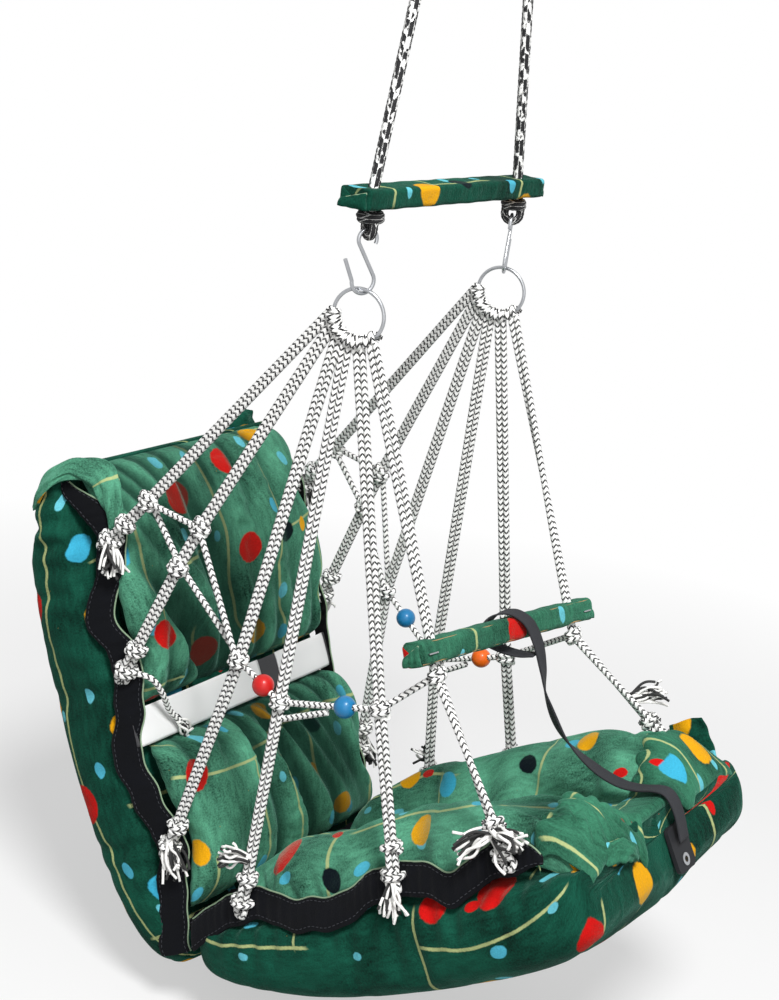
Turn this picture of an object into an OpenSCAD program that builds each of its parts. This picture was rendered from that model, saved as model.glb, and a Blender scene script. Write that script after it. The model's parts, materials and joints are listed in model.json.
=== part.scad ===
// Padded hanging swing seat for a small child: a reclined back and a raised seat in printed cloth,
// hung by a knotted cord net from two steel rings, two S-hooks, a spreader bar and two ropes.
// Millimetres. Origin midway between the two rope eyes, +Z up, -Y to the front of the seat.

/* [Suspension] */
// Distance between the two hanging lines at the spreader, the hooks, the rings and the grab bar
line_spacing = 245; // [235:1:255]
// Distance between the two rope eyes
eye_spacing = 180; // [160:1:200]
// Depth of the ring centres below the rope eyes
ring_drop = 330; // [326:1:334]
// Diameter of the hanging ropes
rope_d = 9.5; // [8:0.5:10]
// Inner diameter of a rope eye
eye_d = 21; // [18:1:22]
// Outer diameter of a steel ring
ring_od = 52; // [50:0.5:54]
// Wire diameter of a steel ring
ring_wire = 3.5; // [3:0.1:4]
// Turn of the rings about the vertical, in degrees
ring_yaw = 12; // [0:1:16]
// Wire diameter of an S-hook
hook_wire = 3.6; // [3:0.1:3.8]
// Turn of the hooks about the vertical, in degrees
hook_yaw = 26; // [15:1:30]
// Diameter of one strand of the net cords
cord_d = 6; // [5:0.1:6.2]
// Diameter of a bead
bead_d = 21; // [18:0.5:22]

/* [Bars] */
// Length of the spreader bar over its cover
spreader_len = 302; // [290:1:320]
// Width of the spreader bar over its cover, front to back
spreader_w = 34; // [30:1:38]
// Height of the spreader bar over its cover
spreader_h = 19; // [18:0.5:20]
// Length of the grab bar over its sleeve
grab_len = 310; // [300:1:330]
// Thickness of the grab bar over its sleeve
grab_t = 24; // [23:0.5:26]
// Sideways slant at which the grab bar hangs, in degrees
grab_skew = 6; // [0:0.5:7]
// Thickness of the cloth on both bars
cover_t = 2.5; // [2:0.1:3]

/* [Seat] */
// Lean of the back from the vertical, in degrees
back_lean = 25.5; // [25:0.1:26]
// Rise of the seat towards its front, in degrees
seat_rise = 31; // [30.5:0.1:31.5]
// Half width of the outer shells at their fullest
shell_half_w = 180; // [174:1:182]
// Thickness of the back shell
back_depth = 100; // [90:1:106]
// Thickness of the seat shell
seat_depth = 97; // [85:1:100]
// Half width of the inner cushions at their fullest
cushion_half_w = 157; // [150:1:158]
// Crown of the back cushions above the seam line
back_crown = 56; // [45:1:60]
// Crown of the seat cushion's side rolls above the seam line
seat_crown = 57; // [50:1:60]
// Width of the black binding
binding_w = 28; // [24:1:30]
// Width of the waist belt
belt_w = 36; // [30:1:38]
// Width of the safety strap
strap_w = 18; // [15:1:20]

/* [Hidden] */
line_x = line_spacing / 2;
eye_x = eye_spacing / 2;
rope_r = rope_d / 2;
eye_ring_r = eye_d / 2 + rope_r;
top_knot_r = 11;
eye_gap = 0.5;
// The swing axis runs through the two round knots under the rope eyes
top_knot_z = -eye_ring_r - rope_r - eye_gap - top_knot_r;
ring_r = ring_od / 2 - ring_wire / 2;
wire_gap = 0.6;
// The seat rocks about the S-hook's lower bow, which lies inside the top of the ring
hook_low_z = ring_r - ring_wire / 2 - wire_gap - hook_wire / 2;
hook_low_r = 11;
hook_high_r = 9;
hook_len = 57;
hook_high_z = hook_low_z + hook_len;
hook_tip = 21;
loop_rope_r = 4;
loop_r = 7.5;
loop_low_z = hook_high_z - hook_wire / 2 - wire_gap - loop_rope_r;
stop_knot_r = 13;
stop_knot_h = 15;
stop_knot_low_z = hook_high_z + hook_wire / 2 + 1.4;
spreader_z = stop_knot_low_z + stop_knot_h + spreader_h / 2;
rope_hole_r = 7;
cord_r = cord_d / 2;
strand_gap = 0.2;
strand_off = cord_r + strand_gap / 2;
tube_sides = 8;

// Reference corners of the back and of the seat on the seam line, in the ring frame
back_foot = [95, -655];
seat_foot = [75, -635];

function back_at(x, t, n) = [
    x,
    back_foot[0] + t * sin(back_lean) - n * cos(back_lean),
    back_foot[1] + t * cos(back_lean) + n * sin(back_lean)
];
function seat_at(x, s, n) = [
    x,
    seat_foot[0] - s * cos(seat_rise) + n * sin(seat_rise),
    seat_foot[1] + s * sin(seat_rise) + n * cos(seat_rise)
];

// The binding lies at a lean over the seam, and the ties sit on its outer face
binding_t = 4;
binding_x = 164;
binding_lean = 25;
function binding_mid(shift) = [binding_x - shift * sin(binding_lean), shift * cos(binding_lean)];
binding_out = [cos(binding_lean), sin(binding_lean)];
// Tie places on the seam: distance along the back or the seat, then the shift of the binding there
back_ties = [[404, 34], [275, 16], [92, 14]];
seat_ties_right = [[70, 14], [262, 16], [388, 20]];
seat_ties_left = [[70, 14], [190, 16], [388, 20]];
function seat_ties(side) = side == LEFT ? seat_ties_left : seat_ties_right;
tie_r = 7;
tie_sink = 1.5;
function tie_on(shift) = binding_mid(shift) + (binding_t / 2 + tie_r - tie_sink) * binding_out;
function tie(i, side) =
    let (place = i < 3 ? back_ties[i] : seat_ties(side)[i - 3], p = tie_on(place[1]))
    i < 3 ? back_at(p[0], place[0], p[1]) : seat_at(p[0], place[0], p[1]);

// Places of the net's knots in the ring frame, mirrored for the -X side.
// The lower row hangs lower on the left.
net_back_join = [154, 196, -222];
net_upper = [150, 131, -231];
net_side = [155, 150, -276];
function net_rear(side) = side == LEFT ? [154, 106, -362] : [154, 67, -345];
function net_middle(side) = side == LEFT ? [153, 32, -420] : [153, 15, -370];
function net_fore(side) = side == LEFT ? [150, -55, -385] : [148, -92, -340];
net_knot_r = 9.5;
bead_r = bead_d / 2;
bead_hole_r = cord_r + 0.4;
function between(a, b, share) = a + share * (b - a);
function rear_bead(side) = between(net_rear(side), net_middle(side), side == LEFT ? 0.4 : 0.6);
function fore_bead(side) = between(net_middle(side), net_fore(side), 0.66);

// The grab bar hangs on the front cords and can slide up along them
grab_y = -127;
grab_z = -290;
hitch_angles = [82, 60, 38, 17, -8, -40];
hitch_reach = ring_r + 4;
ring_dir = [-sin(ring_yaw), cos(ring_yaw), 0];
function ring_point(side, angle, r) =
    [side * line_x, 0, 0] + r * (sin(angle) * ring_dir - cos(angle) * [0, 0, 1]);
function ring_tangent(angle) = cos(angle) * ring_dir + sin(angle) * [0, 0, 1];
grab_point = [line_x, grab_y, grab_z];
front_start = [line_x, hitch_reach * sin(hitch_angles[5]), -hitch_reach * cos(hitch_angles[5])];
grab_axis = (front_start - grab_point) / norm(front_start - grab_point);
grab_tilt = atan2(grab_axis[1], grab_axis[2]);
grab_hole_r = 7;
hub_drop = (grab_t / 2 + net_knot_r) / cos(grab_skew) + 1.6;
function net_hub(side) =
    [side * line_x, grab_y, grab_z] - (side * line_x * tan(grab_skew) + hub_drop) * grab_axis;

// Strap route in the plane x = strap_x: first along the seat as [distance, height above the seam],
// then up to the grab bar and round it as [y, z] in the ring frame
strap_x = 20;
strap_t = 2;
strap_on_seat = [[450.2, -40], [452, -14], [448, 9], [433, 20], [405, 24], [380, 33], [360, 56], [348, 82]];
strap_to_bar = [
    [-172, -352], [-164, -318], [-156, -290], [-147, -270], [-134, -259], [-118, -260], [-106, -272],
    [-104, -292], [-111, -312], [-126, -321], [-140, -321]
];
strap_route = concat(
    [for (p = strap_on_seat) let (q = seat_at(0, p[0], p[1])) [q[1], q[2]]],
    strap_to_bar
);

$fn = 48;

LEFT = 1;
RIGHT = -1;

// Vector and sweep helpers
function unit(v) = v / norm(v);
function mean(list) = [for (k = [0:2]) sum([for (p = list) p[k]]) / len(list)];
function sum(list, i = 0) = i == len(list) ? 0 : list[i] + sum(list, i + 1);
function flip(p, side) = [p[0] * side, p[1], p[2]];
function tangent(path, i) = unit(path[min(i + 1, len(path) - 1)] - path[max(i - 1, 0)]);
function round_ring(c, t, r, sides, ref) =
    let (u = unit(cross(t, ref)), v = cross(t, u))
    [for (k = [0:sides - 1]) c + r * (cos(360 * k / sides) * u + sin(360 * k / sides) * v)];
function power(v, p) = sign(v) * pow(abs(v), p);
function end_round(q, p) = pow(max(0, 1 - pow(abs(q), p)), 1 / p);
function station(k, count) = 0.99 * sin(90 * (2 * k / count - 1));

// Skin over a row of rings that turn anticlockwise seen from the last ring
module loft(rings) {
    n = len(rings[0]);
    m = len(rings);
    points = concat([for (r = rings) each r], [mean(rings[0]), mean(rings[m - 1])]);
    sides = [
        for (i = [0:m - 2], j = [0:n - 1])
            let (a = i * n + j, b = i * n + (j + 1) % n, c = b + n, d = a + n)
            each [[a, c, b], [a, d, c]]
    ];
    start_cap = [for (j = [0:n - 1]) [m * n, j, (j + 1) % n]];
    end_cap = [for (j = [0:n - 1]) [m * n + 1, (m - 1) * n + (j + 1) % n, (m - 1) * n + j]];
    polyhedron(points, concat(sides, start_cap, end_cap));
}

module tube(path, d, ref = [1, 0, 0]) {
    loft([for (i = [0:len(path) - 1]) round_ring(path[i], tangent(path, i), d / 2, tube_sides, ref)]);
}

module rod(a, b, r) {
    v = b - a;
    translate(a)
        rotate([0, acos(v[2] / norm(v)), atan2(v[1], v[0])])
        cylinder(h = norm(v), r = r);
}

module short_rod(a, b, r, cut_a, cut_b) {
    along = unit(b - a);
    rod(a + cut_a * along, b - cut_b * along, r);
}

module in_ring_frame() {
    translate([0, 0, -ring_drop])
        children();
}

module rounded_bar(len, w, h, r) {
    rotate([90, 0, 90])
        translate([0, 0, -len / 2])
        linear_extrude(len) {
            square([w - 2 * r, h], center = true);
            square([w, h - 2 * r], center = true);
            for (sx = [-1, 1], sy = [-1, 1])
                translate([sx * (w / 2 - r), sy * (h / 2 - r)])
                circle(r);
        }
}

// Ropes and spreader
module rope_eye(side) {
    color("dimgray")
        translate([side * eye_x, 0, 0])
        rotate([0, 90, 0])
        rotate_extrude()
        translate([eye_ring_r, 0])
        circle(rope_r);
}

module top_knot(side) {
    color("dimgray")
        translate([side * eye_x, 0, top_knot_z])
        sphere(top_knot_r);
}

module hanging_rope(side) {
    hole_top = spreader_z + spreader_h / 2 - ring_drop;
    slope = (line_x - eye_x) / (top_knot_z - hole_top);
    bend = 10;
    path = [
        [eye_x, 0, top_knot_z],
        [line_x - slope * bend, 0, hole_top + bend],
        [line_x - 0.5, 0, hole_top - 2],
        [line_x, 0, hole_top - spreader_h - stop_knot_h / 2]
    ];
    color("dimgray")
        tube([for (p = path) flip(p, side)], rope_d, [0, 1, 0]);
}

module rope_holes() {
    for (side = [LEFT, RIGHT])
        translate([side * line_x, 0, -spreader_h])
        cylinder(h = 2 * spreader_h, r = rope_hole_r);
}

module at_spreader() {
    in_ring_frame()
        translate([0, 0, spreader_z])
        children();
}

module slat_blank() {
    cube([spreader_len - 2 * cover_t, spreader_w - 2 * cover_t, spreader_h - 2 * cover_t], center = true);
}

module spreader_slat() {
    color("burlywood")
        at_spreader()
        difference() {
            slat_blank();
            rope_holes();
        }
}

module spreader_cover() {
    color("seagreen")
        at_spreader()
        difference() {
            rounded_bar(spreader_len, spreader_w, spreader_h, 5);
            slat_blank();
            rope_holes();
        }
}

// Stop knot under the spreader with the short rope loop that carries the hook
module stop_knot(side) {
    edge = stop_knot_h / 2;
    torus_z = loop_low_z + loop_r;
    color("dimgray")
        in_ring_frame()
        translate([side * line_x, 0, 0])
        rotate([0, 0, side * hook_yaw]) {
            translate([0, 0, stop_knot_low_z])
                rotate_extrude() {
                    square([stop_knot_r - edge, stop_knot_h]);
                    intersection() {
                        translate([stop_knot_r - edge, edge])
                            circle(edge);
                        square([stop_knot_r, stop_knot_h]);
                    }
                }
            translate([0, 0, torus_z])
                rotate([90, 0, 90])
                rotate([0, 0, 180])
                rotate_extrude(angle = 180)
                translate([loop_r, 0])
                circle(loop_rope_r);
            for (sy = [-1, 1])
                translate([0, sy * loop_r, torus_z])
                cylinder(h = stop_knot_low_z + 4 - torus_z, r = loop_rope_r);
        }
}

// Steel hooks and rings
module bow(r, from, sweep) {
    rotate([90, 0, 0])
        rotate([0, 0, from])
        rotate_extrude(angle = sweep)
        translate([r, 0])
        circle(hook_wire / 2);
}

module s_hook(side) {
    high = hook_high_z - hook_high_r;
    low = hook_low_z + hook_low_r;
    cross_angle = asin((hook_high_r + hook_low_r) / (high - low));
    spine_top = [-hook_high_r * cos(cross_angle), 0, high - hook_high_r * sin(cross_angle)];
    spine_foot = [hook_low_r * cos(cross_angle), 0, low + hook_low_r * sin(cross_angle)];
    tip_foot = [-hook_low_r, 0, low];
    tip_lean = 4;
    tip_end = [-hook_low_r - tip_lean, 0, low + hook_tip];
    swell = 0.15;
    color("silver")
        in_ring_frame()
        translate([side * line_x, 0, 0])
        rotate([0, 0, side * hook_yaw])
        mirror([side == LEFT ? 1 : 0, 0, 0]) {
            translate([0, 0, high])
                bow(hook_high_r, -25, 205 + cross_angle);
            translate([0, 0, low])
                bow(hook_low_r, 180, 180 + cross_angle);
            short_rod(spine_top, spine_foot, hook_wire / 2, 0.3, 0.3);
            short_rod(tip_foot, tip_end, hook_wire / 2, 0.3, 0);
            for (bend = [spine_top, spine_foot, tip_foot])
                translate(bend)
                sphere(hook_wire / 2 + swell);
        }
}

module ring(side) {
    color("silver")
        in_ring_frame()
        translate([side * line_x, 0, 0])
        rotate([0, 0, ring_yaw])
        rotate([0, 90, 0])
        rotate_extrude()
        translate([ring_r, 0])
        circle(ring_wire / 2);
}

// Six hitches of cord wound round the lower half of a ring
module ring_hitches(side) {
    wrap_r = 2.9;
    color("white")
        in_ring_frame()
        for (angle = hitch_angles)
            translate(ring_point(side, angle, ring_r))
            rotate([0, 0, ring_yaw])
            rotate([angle, 0, 0])
            rotate([90, 0, 0])
            rotate_extrude()
            translate([ring_wire / 2 + wrap_r, 0])
            circle(wrap_r);
}

// Two strands side by side along a route, starting at a hitch
function strand(side, angle, route, hand) =
    let (
        points = concat([ring_point(side, angle, hitch_reach)], [for (p = route) flip(p, side)]),
        first_dir = ring_tangent(angle)
    )
    [
        for (i = [0:len(points) - 1])
            let (
                plane_dir = unit(cross(tangent(points, i), [1, 0, 0])),
                dir = i == 0 ? first_dir : plane_dir * (plane_dir * first_dir >= 0 ? 1 : -1)
            )
            points[i] + hand * strand_off * dir
    ];

module double_cord(side, index, route) {
    color("white")
        in_ring_frame()
        for (hand = [-1, 1])
            tube(strand(side, hitch_angles[index], route, hand), cord_d);
}

module back_top_cord(side) {
    double_cord(side, 0, [tie(0, side)]);
}

module back_middle_cord(side) {
    double_cord(side, 1, [net_upper, net_side, tie(1, side)]);
}

module back_low_cord(side) {
    double_cord(side, 2, [net_rear(side), tie(2, side)]);
}

module seat_rear_cord(side) {
    double_cord(side, 3, [net_middle(side), tie(3, side)]);
}

module seat_middle_cord(side) {
    double_cord(side, 4, [net_fore(side), tie(4, side)]);
}

// The front cord's strands turn side by side along X before they pass through the grab bar
function turned_strand(side, hand) =
    let (
        first = flip(front_start, side),
        first_dir = ring_tangent(hitch_angles[5]),
        last = net_hub(side),
        steps = 6
    )
    [
        for (i = [0:steps])
            let (turn = min(90, 120 * i / steps), f = i / steps)
            first + f * (last - first)
                + hand * strand_off * (cos(turn) * first_dir + sin(turn) * [side, 0, 0])
    ];

module seat_front_cord(side) {
    foot = flip(tie(5, side), side);
    across = unit(cross(foot - net_hub(side), [0, 1, 1]));
    spread = across[0] * side > 0 ? across : -across;
    color("white")
        in_ring_frame()
        for (hand = [-1, 1])
            tube(concat(turned_strand(side, hand), [foot + hand * strand_off * spread]), cord_d, [0, 1, 0]);
}

// Single strands between neighbouring cords, side by side in X where two meet in one knot
module net_links(side) {
    apart = [cord_r + 0.3, 0, 0];
    rear = net_rear(side);
    middle = net_middle(side);
    fore = net_fore(side);
    links = [
        [net_back_join + apart, net_upper + apart], [net_upper + apart, rear + apart],
        [net_back_join - apart, net_side - apart], [net_side - apart, rear - apart],
        [rear, middle], [middle, fore], [fore, flip(net_hub(side), side)]
    ];
    link_cut = 6;
    second_start = middle + [0, 4, -20];
    below = [0, 0, -cord_d - 0.6];
    second_end = fore_bead(side) + unit(middle - fore) * (bead_r + 8) + below;
    color("white")
        in_ring_frame() {
            for (link = links)
                short_rod(flip(link[0], side), flip(link[1], side), cord_r, link_cut, link_cut);
            rod(flip(second_start, side), flip(second_end, side), cord_r);
        }
}

module net_knots(side) {
    lower_row = [net_rear(side), net_middle(side), net_fore(side), flip(net_hub(side), side)];
    knots = concat([net_back_join, net_upper, net_side], lower_row);
    color("white")
        in_ring_frame()
        for (p = knots)
            translate(flip(p, side))
            sphere(net_knot_r);
}

module tie_knots(side) {
    color("white")
        in_ring_frame()
        for (i = [0:5])
            translate(flip(tie(i, side), side))
            sphere(tie_r);
}

// Frayed cord ends below the tie knots, wider at the end
module tassels(side) {
    len = 34;
    lean = 24;
    color("whitesmoke")
        in_ring_frame()
        for (i = [0:5], turn = i == 5 ? [-30, 35] : [0])
            translate(flip(tie(i, side), side) + [side * 5, 0, 0])
            rotate([turn, 0, 0])
            rotate([0, 180 - side * lean, 0])
            cylinder(h = len, r1 = 4, r2 = 9);
}

module bead(side, centre, from, to, paint) {
    axis = unit(flip(to, side) - flip(from, side));
    middle = flip(centre, side);
    color(paint)
        in_ring_frame()
        difference() {
            translate(middle)
                sphere(bead_r);
            rod(middle - 2 * bead_r * axis, middle + 2 * bead_r * axis, bead_hole_r);
        }
}

module rear_bead_on(side, paint) {
    bead(side, rear_bead(side), net_rear(side), net_middle(side), paint);
}

module fore_bead_on(side, paint) {
    bead(side, fore_bead(side), net_middle(side), net_fore(side), paint);
}

// Outer shells: flat towards the cushions, full behind, with rounded ends
shell_sides = 32;
shell_stations = 18;
function shell_ring(half_w, depth) = [
    for (j = [0:shell_sides - 1])
        let (a = 360 * j / shell_sides)
        [half_w * power(cos(a), 0.5), -depth / 2 + depth / 2 * power(sin(a), 0.5)]
];
back_shell_span = [-26, 482];
seat_shell_span = [-12, 448];
function along_span(span, q) = (span[0] + span[1]) / 2 + q * (span[1] - span[0]) / 2;
function back_shell_ring(q) =
    let (
        t = along_span(back_shell_span, -q),
        drawn = 1 - 0.035 * cos(180 * q) * cos(180 * q),
        half_w = shell_half_w * drawn * (0.82 + 0.18 * end_round(q, 4)),
        depth = back_depth * (0.36 + 0.64 * end_round(q, q > 0 ? 2 : 3))
    )
    [for (p = shell_ring(half_w, depth)) back_at(p[0], t, p[1])];
function seat_shell_ring(q) =
    let (
        s = along_span(seat_shell_span, q),
        drawn = 1 - 0.035 * cos(180 * q) * cos(180 * q),
        half_w = shell_half_w * drawn * (0.8 + 0.2 * end_round(q, 4)),
        depth = seat_depth * (0.5 + 0.5 * end_round(q, q > 0 ? 4 : 2))
    )
    [for (p = shell_ring(half_w, depth)) seat_at(p[0], s, p[1])];

module back_shell() {
    color("seagreen")
        in_ring_frame()
        loft([for (k = [0:shell_stations]) back_shell_ring(station(k, shell_stations))]);
}

module seat_shell() {
    color("seagreen")
        in_ring_frame()
        loft([for (k = [0:shell_stations]) seat_shell_ring(station(k, shell_stations))]);
}

// Rolled black seam where the seat folds up into the back
module fold_seam() {
    len = 290;
    roll_r = 14;
    middle = (back_foot + seat_foot) / 2 + [8, -5];
    color("black")
        in_ring_frame()
        translate([-len / 2, middle[0], middle[1]])
        rotate([0, 90, 0])
        cylinder(h = len, r = roll_r);
}

// Back cushions, gathered into upright folds by the belt
cushion_sides = 44;
cushion_stations = 16;
fold_pitch = 62;
fold_depth = 13;
base_gap = 0.4;
upper_span = [238, 478];
lower_span = [24, 192];
function fold(x) = pow(abs(cos(180 * x / fold_pitch)), 6);
function back_cushion_ring(span, q, belt_end) =
    let (
        t = along_span(span, -q),
        drawn = 1 - 0.03 * cos(90 * q),
        half_w = cushion_half_w * drawn * (0.86 + 0.14 * end_round(q, 4)),
        crown = back_crown * end_round(q, 2.6),
        pull = pow((1 + belt_end * q) / 2, 1.5)
    )
    [
        for (j = [0:cushion_sides - 1])
            let (
                a = 360 * j / cushion_sides,
                x = half_w * power(cos(a), 0.6),
                lift = (1 + power(sin(a), 0.7)) / 2,
                n = base_gap + crown * lift - fold_depth * pull * fold(x) * pow(lift, 3) * end_round(q, 2)
            )
            back_at(x, t, n)
    ];

module back_cushion(span, belt_end) {
    rows = cushion_stations;
    color("mediumseagreen")
        in_ring_frame()
        loft([for (k = [0:rows]) back_cushion_ring(span, station(k, rows), belt_end)]);
}

// Seat cushion with a full roll along each side and a valley along the middle
seat_stations = 20;
seat_sides = 44;
seat_span = [26, 442];
roll_at = 0.62;
valley = 0.1;
edge_h = 4;
function seat_profile(r) =
    r < roll_at
        ? valley + (1 - valley) * pow(sin(90 * r / roll_at), 2)
        : sqrt(max(0, 1 - pow((r - roll_at) / (1 - roll_at), 2)));
function seat_cushion_ring(q) =
    let (
        s = along_span(seat_span, q),
        drawn = 1 - 0.03 * cos(90 * q),
        half_w = cushion_half_w * drawn * (0.84 + 0.16 * end_round(q, 4)),
        crown = seat_crown * end_round(q, 2.8)
    )
    [
        for (j = [0:seat_sides - 1])
            let (
                a = 360 * j / seat_sides,
                r = power(cos(a), 0.8),
                top = sin(a) > 0 ? crown * seat_profile(abs(r)) : 0
            )
            seat_at(half_w * r, s, base_gap + max(top, 0) + edge_h * end_round(q, 3) * min(1, 1 + sin(a)))
    ];

module seat_cushion() {
    color("mediumseagreen")
        in_ring_frame()
        loft([for (k = [0:seat_stations]) seat_cushion_ring(station(k, seat_stations))]);
}

// Black binding over the seam, drawn forward at each tie
binding_stations = 24;
back_binding_span = [-16, 470];
seat_binding_span = [-6, 446];
pull_len = 48;
slack_n = -8;
function pull_at(u, ties) = max([for (c = ties) (c[1] - slack_n) * exp(-pow((u - c[0]) / pull_len, 2))]);
function binding_ring(side, u, ties, on_back) =
    let (
        shift = slack_n + pull_at(u, ties),
        mid = binding_mid(shift),
        along = [-binding_out[1], binding_out[0]] * binding_w / 2,
        out = binding_out * binding_t / 2,
        corners = [mid + along + out, mid - along + out, mid - along - out, mid + along - out],
        turned = side == LEFT ? corners : [for (k = [3:-1:0]) corners[k]]
    )
    [for (c = turned) on_back ? back_at(side * c[0], u, c[1]) : seat_at(side * c[0], u, c[1])];

module binding(side, span, ties, on_back) {
    step = (span[1] - span[0]) / binding_stations;
    rings = [for (k = [0:binding_stations]) binding_ring(side, span[0] + k * step, ties, on_back)];
    color("black")
        in_ring_frame()
        loft(on_back ? rings : [for (k = [binding_stations:-1:0]) rings[k]]);
}

// Webbing belt across the waist, with two pale cloth panels on it
belt_t = 2.5;
belt_at = 215;
panel_t = 1.5;
belt_low_n = 11;
belt_end_n = 6;
belt_half = 164;
belt_flat = 132;
function belt_n(x) =
    let (past = max(0, abs(x) - belt_flat) / (belt_half - belt_flat))
    belt_low_n - (belt_low_n - belt_end_n) * past * past;
function belt_ring(x, n0, t_high, w) = [
    back_at(x, belt_at + w / 2, n0),
    back_at(x, belt_at + w / 2, n0 + t_high),
    back_at(x, belt_at - w / 2, n0 + t_high),
    back_at(x, belt_at - w / 2, n0)
];

module belt_strip(from, to, base, thick, w, steps) {
    step = (to - from) / steps;
    loft([for (k = [0:steps]) belt_ring(from + k * step, belt_n(from + k * step) + base, thick, w)]);
}

module waist_belt() {
    color("dimgray")
        in_ring_frame()
        belt_strip(-belt_half, belt_half, 0, belt_t, belt_w, 16);
}

module belt_panels() {
    panels = [[-150, 32], [64, 148]];
    color("white")
        in_ring_frame()
        for (p = panels)
            belt_strip(p[0], p[1], belt_t, panel_t, belt_w + 2, 8);
}

// Pulled-up cloth corners at the front of the seat and the top of the back, the right one folded down
module tab_slab(len, h, t) {
    r = 6;
    translate([-t / 2, 0, 0])
        rotate([90, 0, 90])
        linear_extrude(t) {
            translate([-len / 2 + r, 0])
                square([len - 2 * r, h]);
            translate([-len / 2, 0])
                square([len, h - r]);
            for (sx = [-1, 1])
                translate([sx * (len / 2 - r), h - r])
                circle(r);
        }
}

module corner_tabs() {
    front_len = 52;
    front_h = 40;
    top_len = 40;
    corner_t = 7;
    color("seagreen")
        in_ring_frame()
        for (side = [LEFT, RIGHT]) {
            top_h = side == LEFT ? 30 : 18;
            translate(seat_at(side * 150, 418, 4))
                rotate([-seat_rise, 0, 0])
                rotate([0, side * 8, 0])
                tab_slab(front_len, front_h, corner_t);
            translate(back_at(side * 132, 470, -16))
                rotate([-back_lean, 0, 0])
                rotate([0, side * 12, 0])
                rotate([0, 0, 90])
                tab_slab(top_len, top_h, corner_t);
        }
}

// Safety strap from the seat's front edge to a slack loop round the grab bar
function strap_ring(i) =
    let (
        p = strap_route[i],
        before = strap_route[max(i - 1, 0)],
        after = strap_route[min(i + 1, len(strap_route) - 1)],
        along = unit(concat(after - before, [0])),
        out = [-along[1], along[0]] * strap_t / 2
    )
    [
        [strap_x + strap_w / 2, p[0] + out[0], p[1] + out[1]],
        [strap_x - strap_w / 2, p[0] + out[0], p[1] + out[1]],
        [strap_x - strap_w / 2, p[0] - out[0], p[1] - out[1]],
        [strap_x + strap_w / 2, p[0] - out[0], p[1] - out[1]]
    ];

module safety_strap() {
    color("black")
        in_ring_frame()
        loft([for (i = [0:len(strap_route) - 1]) strap_ring(i)]);
}

tab_w = 34;
tab_h = 44;
tab_t = 4;
tab_s = 445.4;
tab_n = -46;
eyelet_hole_r = 3;
eyelet_n = -58;

module at_tab(n) {
    in_ring_frame()
        translate(seat_at(strap_x, tab_s, n))
        rotate([-seat_rise, 0, 0])
        rotate([90, 0, 0])
        children();
}

module strap_tab() {
    color("black")
        difference() {
            at_tab(tab_n)
                linear_extrude(tab_t) {
                    square([tab_w, tab_h - 12], center = true);
                    square([tab_w - 12, tab_h], center = true);
                    for (sx = [-1, 1], sy = [-1, 1])
                        translate([sx * (tab_w / 2 - 6), sy * (tab_h / 2 - 6)])
                        circle(6);
                }
            at_tab(eyelet_n)
                translate([0, 0, -tab_t])
                cylinder(h = 3 * tab_t, r = eyelet_hole_r + 1);
        }
}

module strap_eyelet() {
    color("silver")
        at_tab(eyelet_n)
        rotate_extrude() {
            translate([eyelet_hole_r, 0])
                square([1, tab_t]);
            translate([eyelet_hole_r, tab_t])
                square([3, 0.8]);
        }
}

// Grab bar, tilted square to the front cords
module at_grab() {
    in_ring_frame()
        translate([0, grab_y, grab_z])
        rotate([-grab_tilt, 0, 0])
        children();
}

module grab_holes() {
    for (side = [LEFT, RIGHT])
        translate([side * line_x, 0, -2 * grab_t])
        cylinder(h = 4 * grab_t, r = grab_hole_r);
}

module core_blank() {
    cube([grab_len - 2 * cover_t, grab_t - 2 * cover_t, grab_t - 2 * cover_t], center = true);
}

module grab_bar_core() {
    color("burlywood")
        at_grab()
        difference() {
            rotate([0, grab_skew, 0])
                core_blank();
            grab_holes();
        }
}

module grab_bar_sleeve() {
    color("seagreen")
        at_grab()
        difference() {
            rotate([0, grab_skew, 0])
                difference() {
                    rounded_bar(grab_len, grab_t, grab_t, 7);
                    core_blank();
                }
            grab_holes();
        }
}

// One wire staple through the folded cloth at each end of the grab bar
module grab_bar_staples() {
    crown = 14;
    wire = 1.2;
    leg = 6;
    color("silver")
        at_grab()
        rotate([0, grab_skew, 0])
        for (side = [LEFT, RIGHT])
            translate([side * (grab_len / 2 - 16), -grab_t / 2, -1])
            difference() {
                translate([-crown / 2, -wire, -wire / 2])
                    cube([crown, wire + leg, wire]);
                translate([-crown / 2 + wire, 0, -wire])
                    cube([crown - 2 * wire, leg + wire, 2 * wire]);
            }
}

rope_eye(LEFT);  // rope_eye_left
rope_eye(RIGHT);  // rope_eye_right
top_knot(LEFT);  // top_knot_left
top_knot(RIGHT);  // top_knot_right
hanging_rope(LEFT);  // hanging_rope_left
hanging_rope(RIGHT);  // hanging_rope_right
spreader_slat();
spreader_cover();
stop_knot(LEFT);  // stop_knot_left
stop_knot(RIGHT);  // stop_knot_right
s_hook(LEFT);  // s_hook_left
s_hook(RIGHT);  // s_hook_right
ring(LEFT);  // ring_left
ring(RIGHT);  // ring_right
ring_hitches(LEFT);  // ring_hitches_left
ring_hitches(RIGHT);  // ring_hitches_right
back_top_cord(LEFT);  // back_top_cord_left
back_top_cord(RIGHT);  // back_top_cord_right
back_middle_cord(LEFT);  // back_middle_cord_left
back_middle_cord(RIGHT);  // back_middle_cord_right
back_low_cord(LEFT);  // back_low_cord_left
back_low_cord(RIGHT);  // back_low_cord_right
seat_rear_cord(LEFT);  // seat_rear_cord_left
seat_rear_cord(RIGHT);  // seat_rear_cord_right
seat_middle_cord(LEFT);  // seat_middle_cord_left
seat_middle_cord(RIGHT);  // seat_middle_cord_right
seat_front_cord(LEFT);  // seat_front_cord_left
seat_front_cord(RIGHT);  // seat_front_cord_right
net_links(LEFT);  // net_links_left
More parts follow.
